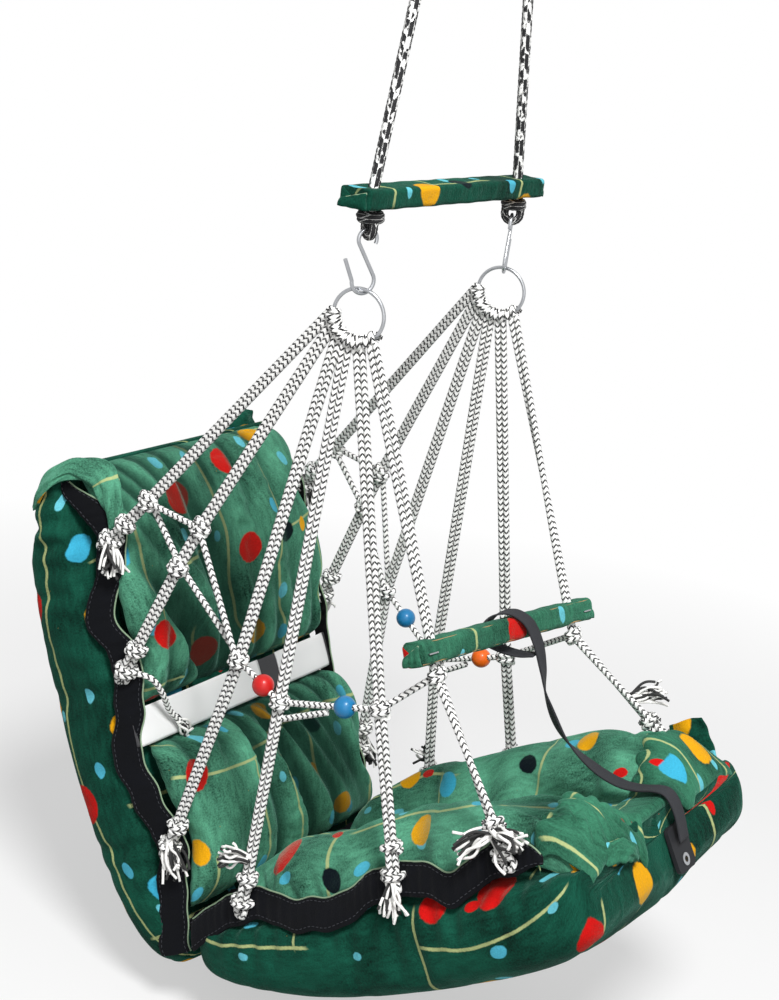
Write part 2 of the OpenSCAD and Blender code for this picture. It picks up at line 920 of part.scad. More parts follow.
net_links(RIGHT);  // net_links_right
net_knots(LEFT);  // net_knots_left
net_knots(RIGHT);  // net_knots_right
tie_knots(LEFT);  // tie_knots_left
tie_knots(RIGHT);  // tie_knots_right
tassels(LEFT);  // tassels_left
tassels(RIGHT);  // tassels_right
rear_bead_on(RIGHT, "red");  // red_bead
fore_bead_on(RIGHT, "steelblue");  // blue_bead_right
rear_bead_on(LEFT, "steelblue");  // blue_bead_left
fore_bead_on(LEFT, "darkorange");  // orange_bead
back_shell();
seat_shell();
fold_seam();
back_cushion(upper_span, 1);  // back_upper_cushion
back_cushion(lower_span, -1);  // back_lower_cushion
seat_cushion();
binding(LEFT, back_binding_span, back_ties, true);  // back_binding_left
binding(RIGHT, back_binding_span, back_ties, true);  // back_binding_right
binding(LEFT, seat_binding_span, seat_ties_left, false);  // seat_binding_left
binding(RIGHT, seat_binding_span, seat_ties_right, false);  // seat_binding_right
waist_belt();
belt_panels();
corner_tabs();
safety_strap();
strap_tab();
strap_eyelet();
grab_bar_core();
grab_bar_sleeve();
grab_bar_staples();
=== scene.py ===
"""Looks of a padded hanging swing seat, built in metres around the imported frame.

The seat hangs by a knotted cord net from two rings, two S-hooks, a spreader bar and two ropes.
Its front is at -Y, the child's left at +X, and the origin lies midway between the two rope eyes.
"""

from __future__ import annotations

import json
import logging
import math
from dataclasses import dataclass, field
from enum import Enum
from typing import Any, Callable, Iterable, Sequence

import bmesh
import bpy
import numpy as np
from mathutils import Matrix, Vector

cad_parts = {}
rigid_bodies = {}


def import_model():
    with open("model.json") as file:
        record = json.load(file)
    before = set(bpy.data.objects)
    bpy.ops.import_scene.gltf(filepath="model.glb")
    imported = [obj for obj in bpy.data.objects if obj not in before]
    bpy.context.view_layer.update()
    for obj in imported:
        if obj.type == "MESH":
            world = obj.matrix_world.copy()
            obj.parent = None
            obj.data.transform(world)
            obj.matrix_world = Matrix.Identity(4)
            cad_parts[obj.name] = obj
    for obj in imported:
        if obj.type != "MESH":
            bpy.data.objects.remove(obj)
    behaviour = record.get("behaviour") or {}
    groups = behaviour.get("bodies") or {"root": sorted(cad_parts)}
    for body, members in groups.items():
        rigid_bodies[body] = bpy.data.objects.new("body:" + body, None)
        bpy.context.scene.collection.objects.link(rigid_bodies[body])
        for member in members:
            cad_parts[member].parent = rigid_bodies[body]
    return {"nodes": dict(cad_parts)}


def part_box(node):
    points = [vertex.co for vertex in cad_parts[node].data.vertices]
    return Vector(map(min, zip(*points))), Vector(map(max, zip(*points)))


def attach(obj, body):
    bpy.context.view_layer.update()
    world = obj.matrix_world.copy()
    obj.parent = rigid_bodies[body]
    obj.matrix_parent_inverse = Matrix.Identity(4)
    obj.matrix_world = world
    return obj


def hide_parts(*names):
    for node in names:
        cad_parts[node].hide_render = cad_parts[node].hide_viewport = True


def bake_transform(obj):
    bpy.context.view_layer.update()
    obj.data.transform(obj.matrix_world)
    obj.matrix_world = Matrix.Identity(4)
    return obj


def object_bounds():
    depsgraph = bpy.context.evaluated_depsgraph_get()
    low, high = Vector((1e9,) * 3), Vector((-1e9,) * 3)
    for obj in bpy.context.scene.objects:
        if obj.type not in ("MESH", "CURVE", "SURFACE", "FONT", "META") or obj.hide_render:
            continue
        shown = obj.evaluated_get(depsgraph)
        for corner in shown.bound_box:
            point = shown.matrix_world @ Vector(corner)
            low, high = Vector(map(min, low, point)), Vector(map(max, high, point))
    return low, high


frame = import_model()
CAD_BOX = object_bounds()

Array = np.ndarray
Colour = tuple[float, float, float, float]
Obj = bpy.types.Object
log = logging.getLogger("swing_seat")

CLOTH_UV = "cloth"
LAY = "lay"
DYE = "dye"
FOLD_SHADE = "fold"


# Small helpers

def paint(red: int, green: int, blue: int) -> Colour:
    """Linear colour of an 8-bit screen colour."""
    shares = (channel / 255 for channel in (red, green, blue))
    return *(s / 12.92 if s <= 0.04045 else ((s + 0.055) / 1.055) ** 2.4 for s in shares), 1.0


def dimmed(tone: Colour, share: float) -> Colour:
    """A colour made darker, or lighter up to white."""
    return *(min(1.0, share * channel) for channel in tone[:3]), 1.0


def unit(vector: Array) -> Array:
    """A vector, or each row of vectors, at length one."""
    return vector / np.maximum(np.linalg.norm(vector, axis=-1, keepdims=True), 1e-12)


def full_turn(count: int) -> Array:
    """Evenly spaced angles of a full turn."""
    return np.linspace(0, 2 * math.pi, count, endpoint=False)


def power(value: Array, exponent: float) -> Array:
    """A power that keeps the sign."""
    return np.sign(value) * np.abs(value) ** exponent


def end_round(share: Array, exponent: float) -> Array:
    """Height of a superellipse at a share of its half length."""
    return np.maximum(0.0, 1 - np.abs(share) ** exponent) ** (1 / exponent)


def bell(distance: Array, width: float) -> Array:
    """A smooth bump, one at distance zero."""
    return np.exp(-(distance / width) ** 2)


def lengths_along(points: Array) -> Array:
    """Length along a polyline at each of its points."""
    return np.concatenate([[0.0], np.cumsum(np.linalg.norm(np.diff(points, axis=0), axis=1))])


def mean_lengths(grid: Array, axis: int) -> Array:
    """Mean length along one way of a grid of points, from its first line."""
    steps = np.linalg.norm(np.diff(grid, axis=axis), axis=2).mean(axis=1 - axis)
    return np.concatenate([[0.0], np.cumsum(steps)])


def resampled(points: Array, count: int) -> Array:
    """A polyline with evenly spaced points.

    Args:
        points: The polyline's points.
        count: Number of points wanted.

    Returns:
        The new points, both ends kept.
    """
    along = lengths_along(points)
    wanted = np.linspace(0, along[-1], count)
    return np.stack([np.interp(wanted, along, points[:, k]) for k in range(points.shape[1])], axis=1)


def rounded_path(points: Sequence[Sequence[float]], radius: float) -> Array:
    """A polyline whose inner corners are rounded.

    Args:
        points: The corner points.
        radius: Reach of the rounding on each side of a corner.

    Returns:
        The polyline with a short curve at each inner corner.
    """
    corners = np.array(points, float)
    share = np.linspace(0, 1, 9)[:, None]
    parts = [corners[:1]]
    for before, corner, after in zip(corners[:-2], corners[1:-1], corners[2:]):
        reach = min(radius, 0.45 * np.linalg.norm(corner - before), 0.45 * np.linalg.norm(after - corner))
        start = corner + unit(before - corner) * reach
        end = corner + unit(after - corner) * reach
        parts.append((1 - share) ** 2 * start + 2 * share * (1 - share) * corner + share ** 2 * end)
    parts.append(corners[-1:])
    return np.concatenate(parts)


def smooth_path(points: Sequence[Sequence[float]], count: int) -> Array:
    """A smooth curve through all the points.

    Args:
        points: Points that the curve passes.
        count: Number of points wanted on the curve.

    Returns:
        Evenly spaced points on the curve.
    """
    knots = np.array(points, float)
    padded = np.concatenate([[2 * knots[0] - knots[1]], knots, [2 * knots[-1] - knots[-2]]])
    share = np.linspace(0, 1, 12, endpoint=False)[:, None]
    parts = []
    for a, b, c, d in zip(padded[:-3], padded[1:-2], padded[2:-1], padded[3:]):
        bend = 2 * a - 5 * b + 4 * c - d
        twist = 3 * b - a - 3 * c + d
        parts.append(0.5 * (2 * b + (c - a) * share + bend * share ** 2 + twist * share ** 3))
    parts.append(knots[-1:])
    return resampled(np.concatenate(parts), count)


def link(obj: Obj) -> Obj:
    """Puts an object into the scene."""
    bpy.context.scene.collection.objects.link(obj)
    return obj


def mesh_object(name: str, points: Array, faces: list, corners: list | None = None) -> Obj:
    """A smooth closed mesh with its faces outwards.

    Args:
        name: Name of the piece.
        points: Vertex places, one row each.
        faces: Vertex numbers of each face.
        corners: Cloth coordinates of each face corner, in metres.

    Returns:
        The new object, in the scene.
    """
    mesh = bpy.data.meshes.new(name)
    mesh.from_pydata(np.asarray(points).tolist(), [], faces)
    if corners is not None:
        layer = mesh.uv_layers.new(name=CLOTH_UV)
        layer.data.foreach_set("uv", np.asarray(corners, np.float32).ravel())
    sculpt = bmesh.new()
    sculpt.from_mesh(mesh)
    bmesh.ops.recalc_face_normals(sculpt, faces=sculpt.faces)
    sculpt.to_mesh(mesh)
    sculpt.free()
    mesh.polygons.foreach_set("use_smooth", [True] * len(mesh.polygons))
    return link(bpy.data.objects.new(name, mesh))


def loft_object(name: str, rings: Array, shift: tuple[float, float] = (0, 0)) -> Obj:
    """A closed skin over a row of rings, with cloth coordinates in metres.

    Args:
        name: Name of the piece.
        rings: Places as rows of rings, shaped (rings, points, 3).
        shift: Offset of the cloth coordinates, so that the print differs between pieces.

    Returns:
        The new object.
    """
    rows, cols = rings.shape[:2]
    across = np.stack([lengths_along(ring) for ring in np.concatenate([rings, rings[:, :1]], axis=1)])
    across = across - across[:, -1:] / 2 + shift[0]
    along = mean_lengths(rings, 0) + shift[1]
    faces, corners = [], []
    for i in range(rows - 1):
        for j in range(cols):
            spots = ((i, j), (i, j + 1), (i + 1, j + 1), (i + 1, j))
            faces.append([r * cols + c % cols for r, c in spots])
            corners += [(across[r, c], along[r]) for r, c in spots]
    for row, pole in ((0, rows * cols), (rows - 1, rows * cols + 1)):
        for j in range(cols):
            faces.append([row * cols + j, row * cols + (j + 1) % cols, pole])
            first, second = across[row, j:j + 2]
            corners += [(u, along[row]) for u in (first, second, (first + second) / 2)]
    points = np.concatenate([rings.reshape(-1, 3), rings[:1].mean(axis=1), rings[-1:].mean(axis=1)])
    return mesh_object(name, points, faces, corners)


def capped(rings: Array, bulge: float, steps: int = 5, flat: Array | None = None) -> Array:
    """Adds closing rings at both ends of a row of rings.

    Args:
        rings: The row of rings.
        bulge: How far each end swells outwards.
        steps: Number of rings added at each end.
        flat: Direction in which a pillow's end closes; without it the end shrinks to a point.

    Returns:
        The longer row of rings.
    """
    turn = np.linspace(0, 0.47 * math.pi, steps + 1)[1:, None, None]
    near = 1 - np.cos(turn)
    ends = []
    for last, before in ((rings[0], rings[1]), (rings[-1], rings[-2])):
        spread = last - last.mean(axis=0)
        out = unit((last - before).mean(axis=0))
        shrink = near * spread
        if flat is not None:
            shrink = near * np.outer(spread @ flat, flat) + 0.05 * shrink
        ends.append(last - shrink + out * bulge * np.sin(turn))
    return np.concatenate([ends[0][::-1], rings, ends[1]])


def thin_sheet(name: str, grid: Array, thickness: float, shift: tuple[float, float] = (0, 0)) -> Obj:
    """A closed thin sheet over a grid of points, its underside in the second material slot.

    Args:
        name: Name of the piece.
        grid: Places of the upper face, shaped (rows, columns, 3).
        thickness: Thickness of the cloth, laid below the grid.
        shift: Offset of the cloth coordinates.

    Returns:
        The new object.
    """
    rows, cols = grid.shape[:2]
    size = rows * cols
    number = np.arange(size).reshape(rows, cols)
    over = np.stack([number[:-1, :-1], number[1:, :-1], number[1:, 1:], number[:-1, 1:]], axis=-1)
    over = over.reshape(-1, 4)
    both = np.stack([over, size + over[:, ::-1]], axis=1).reshape(-1, 4)
    rim = np.concatenate([number[0], number[1:, -1], number[-1, -2::-1], number[-2:0:-1, 0]])
    after = np.roll(rim, -1)
    faces = np.concatenate([both, np.stack([rim, after, size + after, size + rim], axis=1)])
    spots = faces.ravel() % size
    u, v = mean_lengths(grid, 0) + shift[0], mean_lengths(grid, 1) + shift[1]
    under = grid - thickness * unit(np.cross(np.gradient(grid, axis=0), np.gradient(grid, axis=1)))
    points = np.concatenate([grid.reshape(-1, 3), under.reshape(-1, 3)])
    made = mesh_object(name, points, faces.tolist(), np.stack([u[spots // cols], v[spots % cols]], axis=1))
    slots = np.zeros(len(faces), int)
    slots[1:len(both):2] = 1
    made.data.polygons.foreach_set("material_index", slots)
    return made


def places_of(obj: Obj) -> Array:
    """Places of an object's vertices, one row each."""
    return np.array([vertex.co for vertex in obj.data.vertices], float)


def taut_line(points: Array) -> Array:
    """The line that a cloth takes when it is drawn over points.

    Args:
        points: Places in a plane.

    Returns:
        Points of the line, in the order of their first value.
    """
    line: list[Array] = []
    for point in points[np.argsort(points[:, 0])]:
        while len(line) > 1:
            a, b = line[-1] - line[-2], point - line[-2]
            if a[0] * b[1] - a[1] * b[0] < 0:
                break
            line.pop()
        line.append(point)
    return np.array(line)


def polyline_object(
        paths: Iterable[Array], dyes: Sequence[float] | None = None, cyclic: bool = False) -> Obj:
    """Polylines as a mesh of edges, ready for a node tree.

    Args:
        paths: One array of points for each line.
        dyes: One dye value for each line.
        cyclic: Whether each line runs back to its start.

    Returns:
        The edge mesh's object.
    """
    points, edges, shades = [], [], []
    for number, path in enumerate(paths):
        first = len(points)
        points += [tuple(p) for p in path]
        edges += [(k, k + 1) for k in range(first, len(points) - 1)]
        if cyclic:
            edges.append((len(points) - 1, first))
        shades += [0.0 if dyes is None else dyes[number]] * len(path)
    mesh = bpy.data.meshes.new("line")
    mesh.from_pydata(points, edges, [])
    mesh.attributes.new(DYE, "FLOAT", "POINT").data.foreach_set("value", shades)
    return link(bpy.data.objects.new("line", mesh))


# Node graphs

class Sock:
    """A node output on which Python's operators add Math nodes."""

    def __init__(self, graph: Graph, socket: bpy.types.NodeSocket) -> None:
        """Keeps the graph and the output socket."""
        self.graph = graph
        self.socket = socket

    def math(self, operation: str, *others: Sock | float) -> Sock:
        """Adds one Math node, with this value first, and returns its value."""
        return self.graph.value("ShaderNodeMath", {"operation": operation}, dict(enumerate((self, *others))))

    def __add__(self, other: Sock | float) -> Sock:
        """Sum."""
        return self.math("ADD", other)

    __radd__ = __add__

    def __sub__(self, other: Sock | float) -> Sock:
        """Difference."""
        return self.math("SUBTRACT", other)

    def __rsub__(self, other: float) -> Sock:
        """Difference from a number."""
        return self.graph.value("ShaderNodeMath", {"operation": "SUBTRACT"}, {0: other, 1: self})

    def __mul__(self, other: Sock | float) -> Sock:
        """Product."""
        return self.math("MULTIPLY", other)

    __rmul__ = __mul__

    def __truediv__(self, other: Sock | float) -> Sock:
        """Quotient."""
        return self.math("DIVIDE", other)

    def __pow__(self, other: float) -> Sock:
        """Power."""
        return self.math("POWER", other)

    def __abs__(self) -> Sock:
        """Size without sign."""
        return self.math("ABSOLUTE")

    def fract(self) -> Sock:
        """Part after the whole number."""
        return self.math("FRACT")

    def sine(self) -> Sock:
        """Sine of an angle."""
        return self.math("SINE")

    def pingpong(self, reach: float) -> Sock:
        """Value folded back and forth between zero and a reach."""
        return self.math("PINGPONG", reach)

    def clamped(self) -> Sock:
        """Value held between zero and one."""
        return self.math("MAXIMUM", 0.0).math("MINIMUM", 1.0)

    def edge(self, softness: float) -> Sock:
        """Mask that is one well above zero and zero well below."""
        return (self / softness + 0.5).clamped()


class Graph:
    """Adds nodes to one node tree."""

    def __init__(self, tree: bpy.types.NodeTree) -> None:
        """Keeps the tree."""
        self.tree = tree

    def node(self, kind: str, settings: dict | None = None, inputs: dict | None = None) -> bpy.types.Node:
        """Adds a node, sets it up and then fills its sockets.

        Args:
            kind: Blender's name of the node type.
            settings: Properties to set first; the stops of a stepped ramp are pairs of place and colour.
            inputs: Values or links by socket name or number.

        Returns:
            The new node.
        """
        made = self.tree.nodes.new(kind)
        for key, value in (settings or {}).items():
            if key != "stops":
                setattr(made, key, value)
                continue
            ramp = made.color_ramp
            ramp.interpolation = "CONSTANT"
            while len(ramp.elements) < len(value):
                ramp.elements.new(1.0)
            for stop, (place, colour) in zip(ramp.elements, value):
                stop.position = place
                stop.color = colour
        for key, value in (inputs or {}).items():
            if isinstance(value, Sock):
                self.feed(value, made.inputs[key])
            else:
                made.inputs[key].default_value = value
        return made

    def value(
            self, kind: str, settings: dict | None = None, inputs: dict | None = None,
            out: int | str = 0) -> Sock:
        """Adds a node and returns one of its outputs."""
        return Sock(self, self.node(kind, settings, inputs).outputs[out])

    def feed(self, value: Sock, target: bpy.types.NodeSocket) -> None:
        """Links a value to a socket."""
        self.tree.links.new(value.socket, target)

    def mix(self, factor: Sock | float, first: Sock | Colour, second: Sock | Colour) -> Sock:
        """Blend of two colours."""
        return self.value("ShaderNodeMix", {"data_type": "RGBA"}, {0: factor, 6: first, 7: second}, 2)

    def vector(self, operation: str, *values: Sock | Sequence[float]) -> Sock:
        """Vector maths on vectors."""
        return self.value("ShaderNodeVectorMath", {"operation": operation}, dict(enumerate(values)))

    def joined(self, x: Sock | float, y: Sock | float, z: Sock | float = 0.0) -> Sock:
        """Vector of three values."""
        return self.value("ShaderNodeCombineXYZ", None, {0: x, 1: y, 2: z})

    def parts(self, vector: Sock) -> tuple[Sock, Sock, Sock]:
        """The three values of a vector."""
        made = self.node("ShaderNodeSeparateXYZ", None, {0: vector})
        return tuple(Sock(self, out) for out in made.outputs)

    def noise(self, where: Sock, scale: float, detail: float = 2.0, roughness: float = 0.5) -> Sock:
        """Smooth noise from zero to one."""
        inputs = {"Vector": where, "Scale": scale, "Detail": detail, "Roughness": roughness}
        return self.value("ShaderNodeTexNoise", None, inputs)

    def bump(self, height: Sock, depth: float, strength: float = 1.0) -> Sock:
        """Normal bent by a height from zero to one."""
        return self.value("ShaderNodeBump", None, {"Strength": strength, "Distance": depth, "Height": height})

    def cloth_place(self) -> Sock:
        """Place on the cloth, in metres."""
        return self.value("ShaderNodeUVMap", {"uv_map": CLOTH_UV})

    def object_place(self) -> Sock:
        """Place in the piece, in metres."""
        return self.value("ShaderNodeTexCoord", None, None, "Object")

    def own(self, name: str, out: str = "Fac") -> Sock:
        """An attribute that the piece carries."""
        return self.value("ShaderNodeAttribute", {"attribute_name": name}, None, out)

    def coat(self, colour: Sock, rough: Sock, normal: Sock, **fixed: Any) -> None:
        """Feeds the material's shader.

        Args:
            colour: Base colour.
            rough: Roughness.
            normal: Normal, bent by a bump.
            fixed: Constants of other sockets, with spaces written as underscores.
        """
        shader = self.tree.nodes["Principled BSDF"]
        for label, value in (("Base Color", colour), ("Roughness", rough), ("Normal", normal)):
            self.feed(value, shader.inputs[label])
        for label, value in fixed.items():
            shader.inputs[label.replace("_", " ")].default_value = value


def plait_phase(
        turn: Sock, along: Sock, plait: Sock | float, columns: Sock | float,
        check: float = 0.0) -> tuple[Sock, Sock]:
    """Where a point lies in the zigzag plaits of a braid.

    Args:
        turn: Share of a turn round the cord.
        along: Length along the cord.
        plait: Length of one dark and one pale plait.
        columns: Number of plait columns round the cord, an even number.
        check: Zero for slanted zigzags, one for straight grains in a checker.

    Returns:
        The phase along the plaits and the place across the columns.
    """
    column = turn * columns
    slant = column.pingpong(1.0) * (0.5 - 0.35 * check)
    return along / plait + slant + column.math("FLOOR") * (0.5 * check), column


# Finishes

@dataclass(frozen=True)
class Finish:
    """A surface finish with its own material and the record's slot."""

    name: str
    slot: str

    def material(self) -> bpy.types.Material:
        """The finish's material, made at its first use.

        Returns:
            The material.
        """
        made = bpy.data.materials.get(self.name)
        if made is None:
            made = bpy.data.materials.new(self.name)
            made.use_nodes = True
            self.dress(Graph(made.node_tree))
        return made

    def dress(self, graph: Graph) -> None:
        """Sets up the shader of this finish."""
        raise NotImplementedError


@dataclass(frozen=True)
class PrintedVelvet(Finish):
    """Short green pile printed with dots, drops and thin lines."""

    dot_cell: float = 0.088
    drop_cell: float = 0.047
    line_pitch: float = 0.074
    cross_pitch: float = 0.128
    line_half: float = 0.0015
    pile_dark: Colour = paint(2, 30, 22)
    pile_light: Colour = paint(108, 190, 154)
    line_paint: Colour = paint(196, 206, 142)
    sheen: float = 0.3

    def spots(self, graph: Graph, place: Sock, cell: float, stops: list, sizes: list) -> tuple[Sock, Sock]:
        """One layer of scattered spots.

        Args:
            graph: The material's graph.
            place: Place on the cloth.
            cell: Mean distance between spots.
            stops: Colours over the random number of a spot.
            sizes: Radii over the same number, as shares of the cell.

        Returns:
            The spots' mask and colour.
        """
        cells = graph.node(
            "ShaderNodeTexVoronoi", {"voronoi_dimensions": "2D"},
            {"Vector": place, "Scale": 1 / cell, "Randomness": 0.62})
        number = graph.parts(Sock(graph, cells.outputs["Color"]))[0]
        colour = graph.value("ShaderNodeValToRGB", {"stops": stops}, {0: number})
        grey = [(at, (size, size, size, 1)) for at, size in sizes]
        radius = graph.value("ShaderNodeValToRGB", {"stops": grey}, {0: number})
        wobble = graph.noise(place, 260, 2.0) * 0.03 - 0.015
        reach = graph.parts(radius)[0] - Sock(graph, cells.outputs["Distance"]) + wobble
        return reach.edge(0.018), colour

    def lines(self, graph: Graph, place: Sock) -> Sock:
        """The thin printed lines.

        Args:
            graph: The material's graph.
            place: Place on the cloth.

        Returns:
            The lines' mask.
        """
        u, v, _ = graph.parts(place)
        sway = graph.noise(place, 5.5, 1.0) - 0.5
        worn = graph.noise(place, 300, 2.0) * 0.0011
        upright = abs(((u + sway * 0.05) / self.line_pitch).fract() - 0.5) * self.line_pitch
        level = abs(((v + sway * 0.07) / self.cross_pitch).fract() - 0.5) * self.cross_pitch
        broken = graph.noise(graph.vector("ADD", place, (3.1, 1.7, 0.0)), 7.0, 0.0)
        first = (self.line_half - upright + worn - 0.0005).edge(0.0009) * (broken - 0.45).edge(0.02)
        second = (self.line_half - level + worn - 0.0005).edge(0.0009) * (0.5 - broken).edge(0.02)
        return first.math("MAXIMUM", second)

    def dress(self, graph: Graph) -> None:
        """Green pile, then lines, dots and drops.

        Args:
            graph: The material's graph.
        """
        place = graph.cloth_place()
        patches = graph.noise(place, 15, 1.0, 0.5)
        strokes = graph.noise(graph.vector("MULTIPLY", place, (1.0, 0.3, 1.0)), 170, 3.0, 0.6)
        pile = graph.noise(place, 520, 3.0, 0.72)
        shade = ((patches - 0.5) * 1.3 + (strokes - 0.5) * 0.9 + (pile - 0.5) * 1.4 + 0.53).clamped()
        colour = graph.mix(shade, self.pile_dark, self.pile_light)
        colour = graph.mix(self.lines(graph, place) * 0.85, colour, self.line_paint)
        red, amber, sky, navy = paint(216, 22, 20), paint(246, 176, 18), paint(66, 182, 218), paint(8, 12, 24)
        dots, dot_paint = self.spots(
            graph, place, self.dot_cell,
            [(0.0, red), (0.22, amber), (0.46, sky), (0.66, navy)],
            [(0.0, 0.23), (0.12, 0.18), (0.22, 0.18), (0.34, 0.14), (0.46, 0.16), (0.66, 0.13), (0.78, 0.0)])
        shifted = graph.vector("MULTIPLY", graph.vector("ADD", place, (0.41, 0.23, 0)), (1.0, 0.66, 1.0))
        drops, drop_paint = self.spots(
            graph, shifted, self.drop_cell,
            [(0.0, paint(110, 205, 220)), (0.36, paint(84, 186, 212)), (0.54, red), (0.62, amber)],
            [(0.0, 0.08), (0.2, 0.12), (0.54, 0.11), (0.62, 0.11), (0.72, 0.0)])
        colour = graph.mix(drops, colour, drop_paint)
        colour = graph.mix(dots, colour, dot_paint)
        worn = graph.mix((pile - 0.5).edge(0.5) * 0.25, colour, self.pile_dark)
        # Colour darkened towards pile_dark by the piece's fold depth: painted shade in the creases.
        graph.coat(
            graph.mix(graph.own(FOLD_SHADE) * 0.86, worn, self.pile_dark), pile * 0.16 + 0.74,
            graph.bump(pile + strokes * 0.8 + patches, 0.0016, 0.6), Sheen_Weight=self.sheen,
            Sheen_Roughness=0.32, Sheen_Tint=(0.42, 0.95, 0.74, 1), Specular_IOR_Level=0.08)


@dataclass(frozen=True)
class DarkVelvet(Finish):
    """Near-black pile with a blue cast."""

    deep: Colour = paint(1, 2, 4)
    raised: Colour = paint(11, 13, 21)

    def dress(self, graph: Graph) -> None:
        """Dark pile with worn patches.

        Args:
            graph: The material's graph.
        """
        place = graph.cloth_place()
        pile = graph.noise(place, 600, 3.0, 0.65)
        patches = graph.noise(place, 34, 3.0, 0.6)
        shade = (pile * 0.6 + patches * 0.7 - 0.35).clamped()
        graph.coat(
            graph.mix(shade, self.deep, self.raised), pile * 0.2 + 0.7,
            graph.bump(pile + patches, 0.0011, 0.5),
            Sheen_Weight=0.03, Sheen_Roughness=0.5, Specular_IOR_Level=0.12)


@dataclass(frozen=True)
class BraidedCord(Finish):
    """Braid of pale and dark plaits that zigzag round the cord."""

    plait: float = 0.006
    columns: int = 6
    dark_share: float = 0.37
    raggedness: float = 0.12
    drift: float = 0.0
    check: float = 0.0
    pale: Colour = paint(254, 254, 252)
    dark: Colour = paint(16, 16, 18)

    def dress(self, graph: Graph) -> None:
        """Zigzag plaits with fine fibres.

        Args:
            graph: The material's graph.
        """
        side, front, along = graph.parts(graph.own(LAY, "Vector"))
        turn = front.math("ARCTAN2", side) / (2 * math.pi) + 1.0
        place = graph.object_place()
        fibre = graph.noise(place, 1500, 3.0, 0.7)
        phase, column = plait_phase(turn, along, self.plait, self.columns, self.check)
        ragged = phase + (fibre - 0.5) * self.raggedness + graph.noise(place, 150, 1.0) * self.drift
        within = 0.5 - abs(column.fract() - 0.5) - 0.02 + (fibre - 0.5) * self.raggedness
        mask = (self.dark_share - ragged.fract()).edge(0.06) * within.edge(0.08)
        soft_pale = graph.mix(fibre * 0.3, self.pale, paint(222, 221, 217))
        soft_dark = graph.mix(fibre * 0.6, self.dark, paint(58, 58, 60))
        graph.coat(
            graph.mix(mask, soft_pale, soft_dark), fibre * 0.2 + 0.66, graph.bump(fibre, 0.0004, 0.5),
            Specular_IOR_Level=0.3)


@dataclass(frozen=True)
class Yarn(Finish):
    """Loose yarns, each dyed pale or dark."""

    pale: Colour = paint(250, 249, 246)
    dark: Colour = paint(18, 18, 20)

    def dress(self, graph: Graph) -> None:
        """Yarn colour by its dye, with fibres.

        Args:
            graph: The material's graph.
        """
        fibre = graph.noise(graph.object_place(), 1800, 3.0, 0.7)
        colour = graph.mix(graph.own(DYE), self.pale, self.dark)
        graph.coat(
            graph.mix(fibre * 0.18, colour, paint(120, 120, 118)), fibre * 0.15 + 0.75,
            graph.bump(fibre, 0.0003, 0.5))


@dataclass(frozen=True)
class Webbing(Finish):
    """Woven band with ribs along it."""

    tone: Colour = paint(62, 63, 68)
    rib: float = 0.0019
    pick: float = 0.0012
    relief: float = 0.0004
    # Share of the tone in the weave's hollows: painted shade.
    hollow: float = 0.55

    def dress(self, graph: Graph) -> None:
        """Ribs crossed by fine picks.

        Args:
            graph: The material's graph.
        """
        place = graph.cloth_place()
        u, v, _ = graph.parts(place)
        ribs = abs((v * (math.pi / self.rib)).sine())
        picks = abs((u * (math.pi / self.pick) + (v / self.rib).pingpong(1.0) * math.pi).sine())
        fuzz = graph.noise(place, 700, 2.0)
        height = ribs * 0.6 + picks * 0.5
        # Colour from the weave's height: lighter on raised ribs and picks and darker in the hollows between
        # them, a painted highlight and painted shade, mixed with random fuzz.
        shade = (height * 0.6 + fuzz * 0.5 - 0.15).clamped()
        graph.coat(
            graph.mix(shade, dimmed(self.tone, self.hollow), dimmed(self.tone, 1.6)), fuzz * 0.2 + 0.62,
            graph.bump(height, self.relief, 0.6), Specular_IOR_Level=0.3)


@dataclass(frozen=True)
class Steel(Finish):
    """Bright zinc-plated wire."""

    tone: Colour = paint(184, 186, 189)

    def dress(self, graph: Graph) -> None:
        """Metal with faint drawing marks and dull patches.

        Args:
            graph: The material's graph.
        """
        place = graph.object_place()
        marks = graph.noise(graph.vector("MULTIPLY", place, (1.0, 1.0, 0.2)), 900, 3.0)
        patches = graph.noise(place, 90, 2.0)
        graph.coat(
            graph.mix(patches * 0.5, self.tone, paint(128, 130, 134)), patches * 0.18 + marks * 0.1 + 0.16,
            graph.bump(marks, 0.0001, 0.3), Metallic=1.0)


@dataclass(frozen=True)
class Lacquer(Finish):
    """Glossy lacquer on a turned wooden bead."""

    tone: Colour = paint(205, 22, 20)

    def dress(self, graph: Graph) -> None:
        """Lacquer with faint grain under it.

        Args:
            graph: The material's graph.
        """
        place = graph.object_place()
        grain = graph.noise(graph.vector("MULTIPLY", place, (1.0, 1.0, 5.0)), 160, 3.0, 0.6)
        graph.coat(
            graph.mix(grain * 0.5, self.tone, dimmed(self.tone, 0.6)), grain * 0.12 + 0.34,
            graph.bump(grain, 0.0003, 0.25), Coat_Weight=0.25, Coat_Roughness=0.12, Specular_IOR_Level=0.3)


@dataclass(frozen=True)
class Wood(Finish):
    """Plain sawn wood inside the two bars."""

    early: Colour = paint(206, 170, 120)
    late: Colour = paint(150, 106, 64)

    def dress(self, graph: Graph) -> None:
        """Grain along the bar.

        Args:
            graph: The material's graph.
        """
        place = graph.vector("MULTIPLY", graph.object_place(), (0.08, 1.0, 1.0))
        grain = graph.noise(place, 420, 4.0, 0.6)
        graph.coat(graph.mix(grain, self.early, self.late), grain * 0.2 + 0.6, graph.bump(grain, 0.0005, 0.4))
